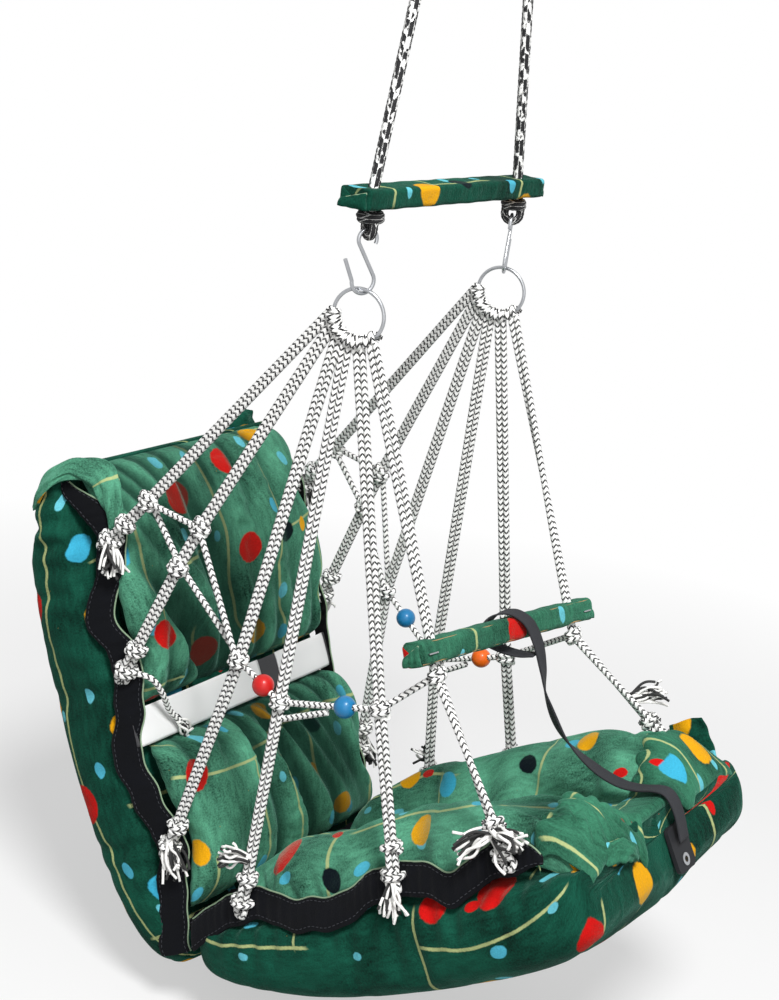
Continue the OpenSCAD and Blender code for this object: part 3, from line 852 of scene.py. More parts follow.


# Copies of one printed velvet at different lightness: the plain one for lit faces, a darker one as painted
# shade, and a middle one as half painted shade.
PRINT = PrintedVelvet("printed_velvet", "printed_cloth")
# Darker copy: painted shade on the shells, the spreader and the corner flaps.
SHADED_PRINT = PrintedVelvet(
    "printed_velvet_nap", "printed_cloth", pile_dark=paint(0, 9, 6), pile_light=paint(26, 96, 76), sheen=0.14)
# Middle copy: half painted shade on the grab bar and the front edge of the seat.
HALF_LIT_PRINT = PrintedVelvet(
    "printed_velvet_mid", "printed_cloth", pile_dark=paint(1, 20, 14), pile_light=paint(72, 146, 114),
    sheen=0.2)
DARK = DarkVelvet("dark_velvet", "black_cloth")
NET_BRAID = BraidedCord("net_braid", "net_cord")
ROPE_BRAID = BraidedCord(
    "rope_braid", "hanging_rope", plait=0.021, dark_share=0.68, raggedness=0.46, drift=1.5, check=0.6)
DARK_ROPE = BraidedCord("dark_rope", "hanging_rope", plait=0.014, dark_share=0.93, raggedness=0.3)
YARN = Yarn("frayed_yarn", "net_cord")
THREAD = Yarn("seam_thread", "black_cloth", pale=paint(26, 29, 40))
SELVAGE = Yarn("selvage_edge", "printed_cloth", pale=paint(138, 164, 132))
STRAP_WEB = Webbing("strap_webbing", "strap_cloth", tone=paint(40, 41, 45))
BELT_WEB = Webbing("belt_webbing", "belt_webbing", tone=paint(74, 75, 80))
PANEL_CLOTH = Webbing(
    "panel_cloth", "panel_cloth", tone=paint(251, 251, 250), rib=0.0011, pick=0.0011, relief=0.0002,
    hollow=0.93)
STEEL = Steel("zinc_steel", "steel")
WOOD = Wood("sawn_wood", "wood")
BEADS = {
    "red_bead": Lacquer("red_lacquer", "red_gloss"),
    "blue_bead_right": Lacquer("blue_lacquer", "blue_gloss", tone=paint(28, 122, 176)),
    "blue_bead_left": Lacquer("blue_lacquer", "blue_gloss", tone=paint(28, 122, 176)),
    "orange_bead": Lacquer("orange_lacquer", "orange_gloss", tone=paint(238, 104, 18)),
}


def dress_piece(obj: Obj, body: str, nodes: Sequence[str], *finishes: Finish) -> Obj:
    """Gives a piece its finish, its body and the nodes that it stands for.

    Args:
        obj: The finished piece.
        body: Body that it rides on.
        nodes: Nodes that it replaces.
        finishes: Finish of each material slot, the main one first.

    Returns:
        The same piece.
    """
    obj.data.materials.clear()
    for finish in finishes:
        obj.data.materials.append(finish.material())
    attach(obj, body)
    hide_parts(*nodes)
    log.info("%s on %s, for %s", obj.name, body, ", ".join(nodes) or "no node")
    return obj


def finish_node(node: str, finish: Finish) -> None:
    """Gives a frame node its finish.

    Args:
        node: Name of the node.
        finish: Its finish.
    """
    obj = frame["nodes"][node]
    obj.data.materials.clear()
    obj.data.materials.append(finish.material())
    log.info("%s keeps its solid", node)


# Geometry node trees

class Growth:
    """A geometry node tree with named inputs, run on one object at a time."""

    def __init__(self, name: str, inputs: dict[str, tuple[str, Any]], fill: Callable[[Growth], Sock]) -> None:
        """Builds the tree.

        Args:
            name: Name of the tree.
            inputs: Socket type and first value of each named input.
            fill: Function that adds the nodes and returns the last geometry before the material.
        """
        self.tree = bpy.data.node_groups.new(name, "GeometryNodeTree")
        self.tree.is_modifier = True
        self.graph = Graph(self.tree)
        face = self.tree.interface
        face.new_socket("Geometry", in_out="INPUT", socket_type="NodeSocketGeometry")
        self.ids = {}
        for label, (kind, first) in {**inputs, "Material": ("NodeSocketMaterial", None)}.items():
            socket = face.new_socket(label, in_out="INPUT", socket_type=kind)
            if first is not None:
                socket.default_value = first
            self.ids[label] = socket.identifier
        face.new_socket("Geometry", in_out="OUTPUT", socket_type="NodeSocketGeometry")
        self.source = self.graph.node("NodeGroupInput")
        realized = self.graph.value("GeometryNodeRealizeInstances", None, {"Geometry": fill(self)})
        dressed = self.graph.value(
            "GeometryNodeSetMaterial", None, {"Geometry": realized, "Material": self.input("Material")})
        self.graph.node("NodeGroupOutput", None, {"Geometry": dressed})

    def input(self, label: str) -> Sock:
        """One of the tree's inputs."""
        return Sock(self.graph, self.source.outputs[label])

    def lines(self, step: str) -> Sock:
        """The source's edges as curves with even points.

        Args:
            step: Name of the input that gives the distance between points.

        Returns:
            The curves.
        """
        curve = self.graph.value("GeometryNodeMeshToCurve", None, {"Mesh": self.input("Geometry")})
        return self.graph.value(
            "GeometryNodeResampleCurve", {"mode": "LENGTH"}, {"Curve": curve, "Length": self.input(step)})

    def stored(self, geometry: Sock, name: str, value: Sock, kind: str = "FLOAT") -> Sock:
        """Geometry with a value of the given kind kept on its points."""
        inputs = {"Geometry": geometry, "Name": name, "Value": value}
        return self.graph.value("GeometryNodeStoreNamedAttribute", {"data_type": kind}, inputs)

    def read(self, name: str) -> Sock:
        """A value kept on the points."""
        kind = {"data_type": "FLOAT"}
        return self.graph.value("GeometryNodeInputNamedAttribute", kind, {"Name": name}, "Attribute")

    def grow(self, source: Obj, name: str, finish: Finish, **sizes: float) -> Obj:
        """Runs the tree and keeps the result as a plain mesh.

        Args:
            source: Object that the tree works on; it is removed.
            name: Name of the new piece.
            finish: Finish of the new piece.
            sizes: Values of the named inputs, with spaces written as underscores.

        Returns:
            The new object.
        """
        modifier = source.modifiers.new("growth", "NODES")
        modifier.node_group = self.tree
        modifier[self.ids["Material"]] = finish.material()
        for label, size in sizes.items():
            modifier[self.ids[label.replace("_", " ")]] = size
        source.data.update_tag()
        evaluated = source.evaluated_get(bpy.context.evaluated_depsgraph_get())
        mesh = bpy.data.meshes.new_from_object(evaluated)
        bpy.data.objects.remove(source)
        mesh.name = name
        mesh.polygons.foreach_set("use_smooth", [True] * len(mesh.polygons))
        return link(bpy.data.objects.new(name, mesh))


def braid_nodes(growth: Growth) -> Sock:
    """Tube along each line, with its plaits standing out.

    Args:
        growth: The tree being built.

    Returns:
        The tube's geometry.
    """
    graph = growth.graph
    length = graph.value("GeometryNodeSplineParameter", None, None, "Length")
    curve = growth.stored(growth.lines("Step"), "along", length)
    ring = graph.value(
        "GeometryNodeCurvePrimitiveCircle", None,
        {"Resolution": growth.input("Sides"), "Radius": growth.input("Diameter") * 0.5}, "Curve")
    ring = growth.stored(ring, "turn", graph.value("GeometryNodeInputIndex") / growth.input("Sides"))
    tube = graph.value(
        "GeometryNodeCurveToMesh", None, {"Curve": curve, "Profile Curve": ring, "Fill Caps": True})
    turn, along = growth.read("turn"), growth.read("along")
    phase, column = plait_phase(turn, along, growth.input("Plait"), growth.input("Columns"))
    groove = abs(column.fract() * 2 - 1) ** 5
    height = (abs((phase * (2 * math.pi)).sine()) ** 0.6) * (1 - groove * 0.8) - 0.6
    normal = graph.value("GeometryNodeInputNormal")
    offset = graph.value(
        "ShaderNodeVectorMath", {"operation": "SCALE"}, {0: normal, "Scale": height * growth.input("Relief")})
    angle = turn * (2 * math.pi)
    lay = graph.joined(angle.math("COSINE"), angle.sine(), along)
    tube = growth.stored(tube, LAY, lay, "FLOAT_VECTOR")
    return graph.value("GeometryNodeSetPosition", None, {"Geometry": tube, "Offset": offset})


def stitch_nodes(growth: Growth) -> Sock:
    """Short thread stitches along each line.

    Args:
        growth: The tree being built.

    Returns:
        The stitches as instances.
    """
    graph = growth.graph
    bead = graph.value("GeometryNodeMeshIcoSphere", None, {"Radius": 0.5, "Subdivisions": 2})
    tangent = graph.value("GeometryNodeInputTangent")
    turn = graph.value("FunctionNodeAlignRotationToVector", {"axis": "X"}, {"Vector": tangent})
    thick = growth.input("Thread")
    return graph.value("GeometryNodeInstanceOnPoints", None, {
        "Points": growth.lines("Pitch"), "Instance": bead, "Rotation": turn,
        "Scale": graph.joined(growth.input("Stitch"), thick, thick)})


FLOAT = "NodeSocketFloat"
BRAID = Growth("braided_tube", {
    "Diameter": (FLOAT, 0.006), "Sides": ("NodeSocketInt", 16), "Step": (FLOAT, 0.001),
    "Plait": (FLOAT, 0.0052), "Columns": (FLOAT, 6.0), "Relief": (FLOAT, 0.0004),
}, braid_nodes)
STITCH = Growth("stitch_row", {
    "Pitch": (FLOAT, 0.005), "Stitch": (FLOAT, 0.0036), "Thread": (FLOAT, 0.0008),
}, stitch_nodes)


def cord_piece(
        name: str, paths: list[Array], finish: Finish, node: str, body: str = "seat",
        dyes: Sequence[float] | None = None, cyclic: bool = False, **sizes: float) -> Obj:
    """Grows a cord or wire along lines and dresses it.

    Args:
        name: Name of the piece.
        paths: Points of each line.
        finish: Finish of the cord.
        node: Node that it replaces, or nothing.
        body: Body that it rides on.
        dyes: One dye value for each line.
        cyclic: Whether each line runs back to its start.
        sizes: Values of the tree's named inputs.

    Returns:
        The dressed piece.
    """
    made = BRAID.grow(polyline_object(paths, dyes, cyclic), name, finish, **sizes)
    return dress_piece(made, body, [node] if node else [], finish)


# Places that the sub-assemblies share

class Panel(Enum):
    """The two padded halves of the seat."""

    BACK = "back"
    SEAT = "seat"


class Side(Enum):
    """The child's left and right."""

    LEFT = 1
    RIGHT = -1

    @property
    def label(self) -> str:
        """The side's name as nodes write it."""
        return self.name.lower()


@dataclass(frozen=True)
class Layout:
    """Places of the frame, worked out as its source does."""

    line_x: float = 0.1225
    eye_x: float = 0.09
    ring_z: float = -0.33
    ring_r: float = 0.02425
    ring_wire: float = 0.0035
    ring_yaw: float = math.radians(12)
    hitch_angles: tuple[float, ...] = tuple(math.radians(a) for a in (82, 60, 38, 17, -8, -40))
    back_lean: float = math.radians(25.5)
    back_foot: tuple[float, float] = (0.095, -0.655)
    seat_rise: float = math.radians(31)
    seat_foot: tuple[float, float] = (0.075, -0.635)
    binding_x: float = 0.164
    binding_lean: float = math.radians(25)
    back_ties: tuple = ((0.404, 0.034), (0.275, 0.016), (0.092, 0.014))
    seat_ties_right: tuple = ((0.07, 0.014), (0.262, 0.016), (0.388, 0.02))
    seat_ties_left: tuple = ((0.07, 0.014), (0.19, 0.016), (0.388, 0.02))
    tie_out: float = 0.0075
    grab: tuple[float, float] = (-0.127, -0.29)
    grab_skew: float = math.radians(6)
    hub_drop: float = 0.02322

    def at(self, panel: Panel, x: Array, along: Array, n: Array) -> Array:
        """Place on a padded half.

        Args:
            panel: The back or the seat.
            x: Sideways distance.
            along: Distance along the half from its foot.
            n: Height above the seam line.

        Returns:
            Points in the object's frame.
        """
        x, along, n = np.broadcast_arrays(np.asarray(x, float), along, n)
        if panel is Panel.BACK:
            s, c = math.sin(self.back_lean), math.cos(self.back_lean)
            y, z = self.back_foot[0] + along * s - n * c, self.back_foot[1] + along * c + n * s
        else:
            s, c = math.sin(self.seat_rise), math.cos(self.seat_rise)
            y, z = self.seat_foot[0] - along * c + n * s, self.seat_foot[1] + along * s + n * c
        return np.stack([x, y, z + self.ring_z], axis=-1)

    @property
    def ring_dir(self) -> Array:
        """Level direction in the plane of a ring."""
        return np.array([-math.sin(self.ring_yaw), math.cos(self.ring_yaw), 0])

    def ring_point(self, side: Side, angle: float, radius: float) -> Array:
        """Point at an angle from the lowest point of a ring."""
        centre = np.array([side.value * self.line_x, 0, self.ring_z])
        return centre + radius * (math.sin(angle) * self.ring_dir - math.cos(angle) * np.array([0, 0, 1]))

    def ring_tangent(self, angle: float) -> Array:
        """Direction of a ring's wire at an angle."""
        return math.cos(angle) * self.ring_dir + math.sin(angle) * np.array([0, 0, 1])

    def flip(self, point: Sequence[float], side: Side) -> Array:
        """A point of the net on one side, from its place on the left in the ring's frame."""
        return np.array([point[0] * side.value, point[1], point[2] + self.ring_z])

    def binding_mid(self, shift: Array) -> tuple[Array, Array]:
        """Sideways place and height of the binding's middle."""
        return self.binding_x - shift * math.sin(self.binding_lean), shift * math.cos(self.binding_lean)

    @property
    def binding_out(self) -> tuple[float, float]:
        """Direction out of the binding, sideways and up."""
        return math.cos(self.binding_lean), math.sin(self.binding_lean)

    def ties(self, panel: Panel, side: Side) -> tuple:
        """Distance along a half and shift of the binding at each of its ties."""
        on_seat = self.seat_ties_left if side is Side.LEFT else self.seat_ties_right
        return self.back_ties if panel is Panel.BACK else on_seat

    def tie(self, index: int, side: Side) -> Array:
        """Place of a tie knot.

        Args:
            index: Number of the tie, the first three on the back.
            side: Side of the part.

        Returns:
            The place.
        """
        on_back = index < 3
        along, shift = (self.ties(Panel.BACK, side) + self.ties(Panel.SEAT, side))[index]
        x, n = self.binding_mid(shift)
        x, n = x + self.tie_out * self.binding_out[0], n + self.tie_out * self.binding_out[1]
        return self.at(Panel.BACK if on_back else Panel.SEAT, side.value * x, along, n)

    @property
    def front_start(self) -> Array:
        """Start of the left front cord at its ring, in the ring's frame."""
        reach, angle = self.ring_r + 0.004, self.hitch_angles[5]
        return np.array([self.line_x, reach * math.sin(angle), -reach * math.cos(angle)])

    @property
    def grab_axis(self) -> Array:
        """Direction along which the grab bar slides on the front cords."""
        return unit(self.front_start - np.array([self.line_x, *self.grab]))

    def hub(self, side: Side) -> Array:
        """Place of the net's knot under the grab bar, in the ring's frame, on its own side."""
        x = side.value * self.line_x
        return np.array([x, *self.grab]) - (x * math.tan(self.grab_skew) + self.hub_drop) * self.grab_axis


LAYOUT = Layout()


# Stage

@dataclass
class StudioStage:
    """Pale floor, soft lights and the camera of the photograph."""

    camera_place: tuple[float, float, float] = (-1.3404, -0.8269, -0.0252)
    heading: float = math.radians(-57.7)
    pitch: float = math.radians(17.7)
    roll: float = math.radians(7.5)
    focal: float = 61.2
    sensor: float = 36.0
    floor_gap: float = 0.05
    floor_reach: float = 80.0
    shadow_reach: float = 0.8
    glow: float = 0.5
    sky: float = 0.3
    key: tuple = ((-1.3, -1.3, 2.4), 0.9, 108)
    fill: tuple = ((-2.0, -1.6, 0.5), 2.2, 15)

    def camera(self) -> None:
        """Makes the camera at the photograph's viewing angle."""
        a, p, r = self.heading, self.pitch, self.roll
        ahead = Vector((-math.sin(a) * math.cos(p), math.cos(a) * math.cos(p), -math.sin(p)))
        right = ahead.cross(Vector((0, 0, 1))).normalized()
        up = right.cross(ahead)
        right, up = math.cos(r) * right + math.sin(r) * up, math.cos(r) * up - math.sin(r) * right
        data = bpy.data.cameras.new("photo_camera")
        data.sensor_fit = "AUTO"
        data.sensor_width = self.sensor
        data.lens = self.focal
        data.clip_end = 500
        camera = link(bpy.data.objects.new("photo_camera", data))
        turn = Matrix((right, up, -ahead)).transposed().to_4x4()
        camera.matrix_world = Matrix.Translation(self.camera_place) @ turn
        bpy.context.scene.camera = camera

    def seen(self, graph: Graph) -> Sock:
        """One for what the camera sees, also in a mirror, else zero."""
        rays = graph.node("ShaderNodeLightPath").outputs
        return Sock(graph, rays["Is Camera Ray"]).math("MAXIMUM", Sock(graph, rays["Is Glossy Ray"]))

    def floor(self) -> None:
        """Makes the wide pale floor, which keeps the shadow."""
        low = CAD_BOX[0].z - self.floor_gap
        reach = self.floor_reach
        mesh = bpy.data.meshes.new("floor")
        corners = [(-reach, -reach, low), (reach, -reach, low), (reach, reach, low), (-reach, reach, low)]
        mesh.from_pydata(corners, [], [(0, 1, 2, 3)])
        made = bpy.data.materials.new("pale_floor")
        made.use_nodes = True
        graph = Graph(made.node_tree)
        shader = made.node_tree.nodes["Principled BSDF"]
        seen = self.seen(graph)
        graph.feed(graph.mix(seen, (0.3, 0.3, 0.3, 1), (0.86, 0.86, 0.86, 1)), shader.inputs["Base Color"])
        shader.inputs["Roughness"].default_value = 0.95
        shader.inputs["Specular IOR Level"].default_value = 0.0
        x, y, _ = graph.parts(graph.object_place())
        far = (((x * x + y * y) ** 0.5 - self.shadow_reach) / self.shadow_reach).clamped()
        white = graph.value("ShaderNodeEmission", None, {"Color": (1, 1, 1, 1), "Strength": 1.0})
        lit = (self.glow + far * (1 - self.glow)) * seen
        plain = Sock(graph, shader.outputs[0])
        mixed = graph.value("ShaderNodeMixShader", None, {0: lit, 1: plain, 2: white})
        graph.feed(mixed, made.node_tree.nodes["Material Output"].inputs["Surface"])
        floor = link(bpy.data.objects.new("floor", mesh))
        mesh.materials.append(made)

    def lamp(self, name: str, offset: Sequence[float], size: float, watts: float) -> None:
        """Adds one soft area lamp that looks at the middle of the part.

        Args:
            name: Name of the lamp.
            offset: Its place, seen from that middle.
            size: Its diameter.
            watts: Its power.
        """
        data = bpy.data.lights.new(name, "AREA")
        data.shape = "DISK"
        data.size = size
        data.energy = watts
        lamp = link(bpy.data.objects.new(name, data))
        lamp.location = (CAD_BOX[0] + CAD_BOX[1]) / 2 + Vector(offset)
        lamp.rotation_mode = "QUATERNION"
        lamp.rotation_quaternion = (-Vector(offset)).to_track_quat("-Z", "Y")

    def build(self) -> None:
        """Sets up the camera, the lights and the floor."""
        self.camera()
        self.floor()
        self.lamp("key", *self.key)
        self.lamp("fill", *self.fill)
        world = bpy.data.worlds.new("studio")
        bpy.context.scene.world = world
        world.use_nodes = True
        graph = Graph(world.node_tree)
        light = world.node_tree.nodes["Background"]
        light.inputs["Color"].default_value = (1, 1, 1, 1)
        light.inputs["Strength"].default_value = self.sky
        white = graph.value("ShaderNodeBackground", None, {"Color": (1, 1, 1, 1), "Strength": 1.0})
        mixed = graph.value(
            "ShaderNodeMixShader", None, {0: self.seen(graph), 1: Sock(graph, light.outputs[0]), 2: white})
        graph.feed(mixed, world.node_tree.nodes["World Output"].inputs["Surface"])
        bpy.context.scene.view_settings.view_transform = "Standard"


# Ropes and bars

@dataclass
class HangingRopes:
    """The two ropes with their eyes, top knots and stop knots."""

    rope_d: float = 0.0095
    eye_r: float = 0.01525
    neck: float = 0.009
    top_knot_z: float = -0.0315
    hole_top: float = -0.2157
    spreader_h: float = 0.019
    stop_low: float = -0.2497
    stop_h: float = 0.015
    hook_yaw: float = math.radians(26)
    loop_r: float = 0.0075
    loop_z: float = -0.2518
    whip_d: float = 0.0068
    whip_r: float = 0.0072
    whip_turns: float = 2.2
    stop_d: float = 0.0078
    stop_r: float = 0.0088
    stop_turns: float = 2.4

    def rope_route(self, side: Side) -> Array:
        """Route of one rope from its top knot to its stop knot.

        Args:
            side: Side of the part.

        Returns:
            The route.
        """
        slope = (LAYOUT.line_x - LAYOUT.eye_x) / (self.top_knot_z - self.hole_top)
        bend = 0.01
        points = [
            (LAYOUT.eye_x, 0, self.top_knot_z),
            (LAYOUT.line_x - slope * bend, 0, self.hole_top + bend),
            (LAYOUT.line_x - 0.0005, 0, self.hole_top - 0.002),
            (LAYOUT.line_x, 0, self.hole_top - self.spreader_h - self.stop_h / 2),
        ]
        return smooth_path([(side.value * x, y, z) for x, y, z in points], 60)

    def wound(self, x: float, low: float, high: float, radius: float, turns: float) -> Array:
        """A helix of rope round an upright axis.

        Args:
            x: Sideways place of the axis.
            low: Height of the first turn.
            high: Height of the last turn.
            radius: Radius of the fullest turn.
            turns: Number of turns.

        Returns:
            The helix.
        """
        share = np.linspace(0, 1, int(40 * turns))
        angle = 2 * math.pi * turns * share
        swell = radius * (0.82 + 0.18 * np.sin(math.pi * share))
        rise = low + (high - low) * share
        return np.stack([x + swell * np.cos(angle), swell * np.sin(angle), rise], axis=1)

    def stop_loop(self, side: Side) -> Array:
        """The short loop under the stop knot that takes the hook.

        Args:
            side: Side of the part.

        Returns:
            The loop.
        """
        angle = np.linspace(0, math.pi, 20)
        reach = np.concatenate([[self.loop_r], self.loop_r * np.cos(angle), [-self.loop_r]])
        top = self.stop_low + 0.006
        z = np.concatenate([[top], self.loop_z - self.loop_r * np.sin(angle), [top]])
        yaw = side.value * self.hook_yaw
        x = side.value * LAYOUT.line_x - reach * math.sin(yaw)
        return np.stack([x, reach * math.cos(yaw), z], axis=1)

    def eye(self, side: Side) -> Array:
        """The closed eye at the top of a rope, drawn to a neck below.

        Args:
            side: Side of the part.

        Returns:
            The eye's ring.
        """
        turn = full_turn(48)
        x = np.full_like(turn, side.value * LAYOUT.eye_x)
        neck = np.clip(-np.sin(turn) - 0.4, 0, 1) / 0.6
        y = self.eye_r * np.cos(turn) * (1 - 0.4 * neck)
        return np.stack([x, y, self.eye_r * np.sin(turn) - self.neck * neck ** 2], axis=1)

    def build(self) -> None:
        pale = {"Diameter": self.rope_d, "Sides": 24, "Step": 0.0011, "Plait": ROPE_BRAID.plait / 2}
        dark = {"Sides": 20, "Step": 0.0009, "Plait": DARK_ROPE.plait / 2, "Relief": 0.0006}
        for side in Side:
            name = side.label
            route = self.rope_route(side)
            rope = cord_piece(
                f"rope_{name}", [route], ROPE_BRAID, f"hanging_rope_{name}", "hanger",
                **pale, Relief=0.0009)
            cord_piece(
                f"eye_{name}", [self.eye(side)], ROPE_BRAID, f"rope_eye_{name}", "rope_eyes",
                cyclic=True, **pale, Relief=0.0006)
            low, high = self.top_knot_z - 0.0065, self.top_knot_z + 0.0058
            winding = self.wound(side.value * LAYOUT.eye_x, low, high, self.whip_r, self.whip_turns)
            knot = cord_piece(
                f"whipping_{name}", [winding], DARK_ROPE, f"top_knot_{name}", "hanger",
                Diameter=self.whip_d, **dark)
            low, high = self.stop_low + 0.0042, self.stop_low + self.stop_h - 0.0042
            winding = self.wound(side.value * LAYOUT.line_x, low, high, self.stop_r, self.stop_turns)
            cord_piece(
                f"stop_{name}", [winding, self.stop_loop(side)], DARK_ROPE, f"stop_knot_{name}", "hanger",
                Diameter=self.stop_d, **dark)
            side.value * LAYOUT.line_x


@dataclass
class ClothBar:
    """A wooden bar in a cloth cover with folded ends."""

    name: str
    node: str
    core: str
    body: str
    place: Matrix
    length: float
    width: float
    height: float
    corner: float
    shift: tuple[float, float]
    hole_x: float = LAYOUT.line_x
    dimple: float = 0.0012
    cloth: float = 0.0014
    overlap: float = 0.12
    # The cover's default is the darker copy of the print: painted shade.
    velvet: Finish = SHADED_PRINT

    def section(self, count: int) -> Array:
        """Rounded rectangle as a closed ring of points, from the rear face over the top.

        Args:
            count: Number of points.

        Returns:
            Places across the bar and up.
        """
        half_w, half_h, r = self.width / 2 - self.corner, self.height / 2 - self.corner, self.corner
        parts = []
        for number, (sy, sz) in enumerate(((1, 1), (-1, 1), (-1, -1), (1, -1))):
            turn = np.linspace(0, math.pi / 2, 9) + number * math.pi / 2
            parts.append(np.stack([sy * half_w + r * np.cos(turn), sz * half_h + r * np.sin(turn)], axis=1))
        ring = np.concatenate(parts)
        return resampled(np.concatenate([ring, ring[:1]]), count + 1)[:-1]

    def wrap(self, count: int) -> Array:
        """Section of the cloth, wound once round the bar with its end tucked under.

        Args:
            count: Number of points.

        Returns:
            Places across the bar and up.
        """
        dense = 600
        share = np.linspace(0, 1 + self.overlap, count)
        loop = self.section(dense)[((share + 0.92) * dense).astype(int) % dense]
        tuck = np.clip(1 - share / (1.6 * self.overlap), 0, 1)
        inset = 0.0006 + (self.cloth + 0.0003) * tuck ** 2 * (3 - 2 * tuck)
        return loop * (1 - inset / np.hypot(*loop.T))[:, None]

    def build(self) -> None:
        """Makes the cover, its folded end flaps and the wood inside."""
        count, rows, ends = 72, 120, 7
        ring = self.wrap(count)
        half = self.length / 2 - 0.003
        fold = np.linspace(0, 0.46 * math.pi, ends + 1)[1:]
        tip = 0.0026 * np.sin(fold)
        x = np.concatenate([-half - tip[::-1], np.linspace(-half, half, rows), half + tip])
        close = np.concatenate([np.cos(fold[::-1]), np.ones(rows), np.cos(fold)])
        turn = np.arctan2(ring[:, 1], ring[:, 0])
        grid = np.zeros((len(x), count, 3))
        for i, place in enumerate(x):
            ripple = 0.00022 * (np.sin(place * 210 + 3 * turn) + np.sin(place * 97 - 2 * turn + 1.3))
            pinch = self.dimple * bell(abs(place) - self.hole_x, 0.011) * np.abs(np.sin(turn)) ** 3
            scale = close[i] + (ripple - pinch) / np.hypot(*ring.T)
            grid[i, :, 0] = place
            grid[i, :, 1:] = ring * scale[:, None]
        cover = thin_sheet(self.name, grid[::-1], self.cloth, self.shift)
        cover.data.transform(self.place)
        dress_piece(cover, self.body, [self.node], self.velvet, self.velvet)
        around = (1 + self.overlap) * 2 * (self.width + self.height - 2 * self.corner)
        self.length + self.height / 2
        finish_node(self.core, WOOD)
        for number, end in enumerate((-1, 1)):
            self.end_flap(end, number)

    def end_flap(self, end: int, number: int) -> None:
        """Folds one cloth flap over an end of the bar.

        Args:
            end: Which end, -1 or 1.
            number: Number of the flap.
        """
        rows, cols = 12, 14
        u = np.linspace(0, 1, rows)[:, None]
        v = np.linspace(-1, 1, cols)[None, :]
        lower = -self.height * 0.42
        slant = (0.1 + 0.22 * end * v) * self.height
        y = v * (self.width / 2 - 0.0022) * (1 - 0.12 * u)
        z = lower + (slant - lower) * u
        out = self.length / 2 + 0.0004 + 0.0011 * np.sin(math.pi * u) + 0.0004 * np.sin(9 * v + 3 * u)
        grid = np.stack(np.broadcast_arrays(end * out, y, z), axis=-1)
        if end > 0:
            grid = grid[:, ::-1]
        flap = thin_sheet(f"{self.name}_end_{number}", grid[::-1], 0.0016, (0.14 + 0.2 * number, 0.5))
        flap.data.transform(self.place)
        dress_piece(flap, self.body, [], self.velvet, DARK)
        lip = BRAID.grow(
            polyline_object([grid[-1]]), f"{self.name}_lip_{number}", SELVAGE,
            Diameter=0.0019, Sides=8, Step=0.002, Relief=0.0)
        lip.data.transform(self.place)
        dress_piece(lip, self.body, [], SELVAGE)
        self.height * 0.62


def spreader() -> ClothBar:
    """The spreader bar between the ropes and the hooks.

    Returns:
        The bar, not yet built.
    """
    low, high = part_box("spreader_cover")
    size = high - low
    return ClothBar(
        "spreader_cloth", "spreader_cover", "spreader_slat", "hanger", Matrix.Translation((low + high) / 2),
        size.x, size.y, size.z, 0.004, (0.94, 0.41))


def grab_bar() -> ClothBar:
    """The grab bar on the front cords, with its staples.

    Returns:
        The bar, not yet built.
    """
    axis = LAYOUT.grab_axis
    tilt = math.atan2(axis[1], axis[2])
    place = Matrix.Translation((0, LAYOUT.grab[0], LAYOUT.grab[1] + LAYOUT.ring_z))
    place = place @ Matrix.Rotation(-tilt, 4, "X") @ Matrix.Rotation(LAYOUT.grab_skew, 4, "Y")
    # The grab bar's cover takes the middle copy of the print: half painted shade.
    return ClothBar(
        "grab_bar_cloth", "grab_bar_sleeve", "grab_bar_core", "grab_bar", place,
        0.31, 0.024, 0.024, 0.007, (0.468, 0.589), velvet=HALF_LIT_PRINT)


# Steel

@dataclass
class SteelWork:
    """Rings and S-hooks of bright wire."""

    hook_wire: float = 0.0036
    hook_low_z: float = 0.0201
    hook_len: float = 0.057
    low_r: float = 0.011
    high_r: float = 0.009
    tip: tuple[float, float] = (0.009, 0.019)
    hook_yaw: float = math.radians(26)

    def hook_route(self, side: Side) -> Array:
        """Centre line of one hook, from the tip of its lower bow up.

        Args:
            side: Side of the part.

        Returns:
            The line.
        """
        low = self.hook_low_z + self.low_r
        high = self.hook_low_z + self.hook_len - self.high_r
        cross = math.asin((self.high_r + self.low_r) / (high - low))
        down = np.linspace(math.pi, 2 * math.pi + cross, 40)
        over = np.linspace(math.pi + cross, math.radians(-25), 36)
        x = np.concatenate([
            [-self.low_r - self.tip[0]], self.low_r * np.cos(down), self.high_r * np.cos(over)])
        z = np.concatenate([
            [low + self.tip[1]], low + self.low_r * np.sin(down), high + self.high_r * np.sin(over)])
        x = -x if side is Side.LEFT else x
        yaw = side.value * self.hook_yaw
        return np.stack([
            side.value * LAYOUT.line_x + x * math.cos(yaw), x * math.sin(yaw), z + LAYOUT.ring_z], axis=1)

    def build(self) -> None:
        """Makes hooks and rings, and finishes the small steel nodes."""
        for side in Side:
            name = side.label
            cord_piece(
                f"hook_wire_{name}", [self.hook_route(side)], STEEL, f"s_hook_{name}",
                f"hook_{name}", Diameter=self.hook_wire, Sides=20, Step=0.0011, Relief=0.0)
            circle = np.array([LAYOUT.ring_point(side, a, LAYOUT.ring_r) for a in full_turn(120)])
            cord_piece(
                f"ring_wire_{name}", [circle], STEEL, f"ring_{name}", cyclic=True,
                Diameter=LAYOUT.ring_wire, Sides=20, Step=0.0013, Relief=0.0)
        finish_node("strap_eyelet", STEEL)
        finish_node("grab_bar_staples", STEEL)


# Cord net

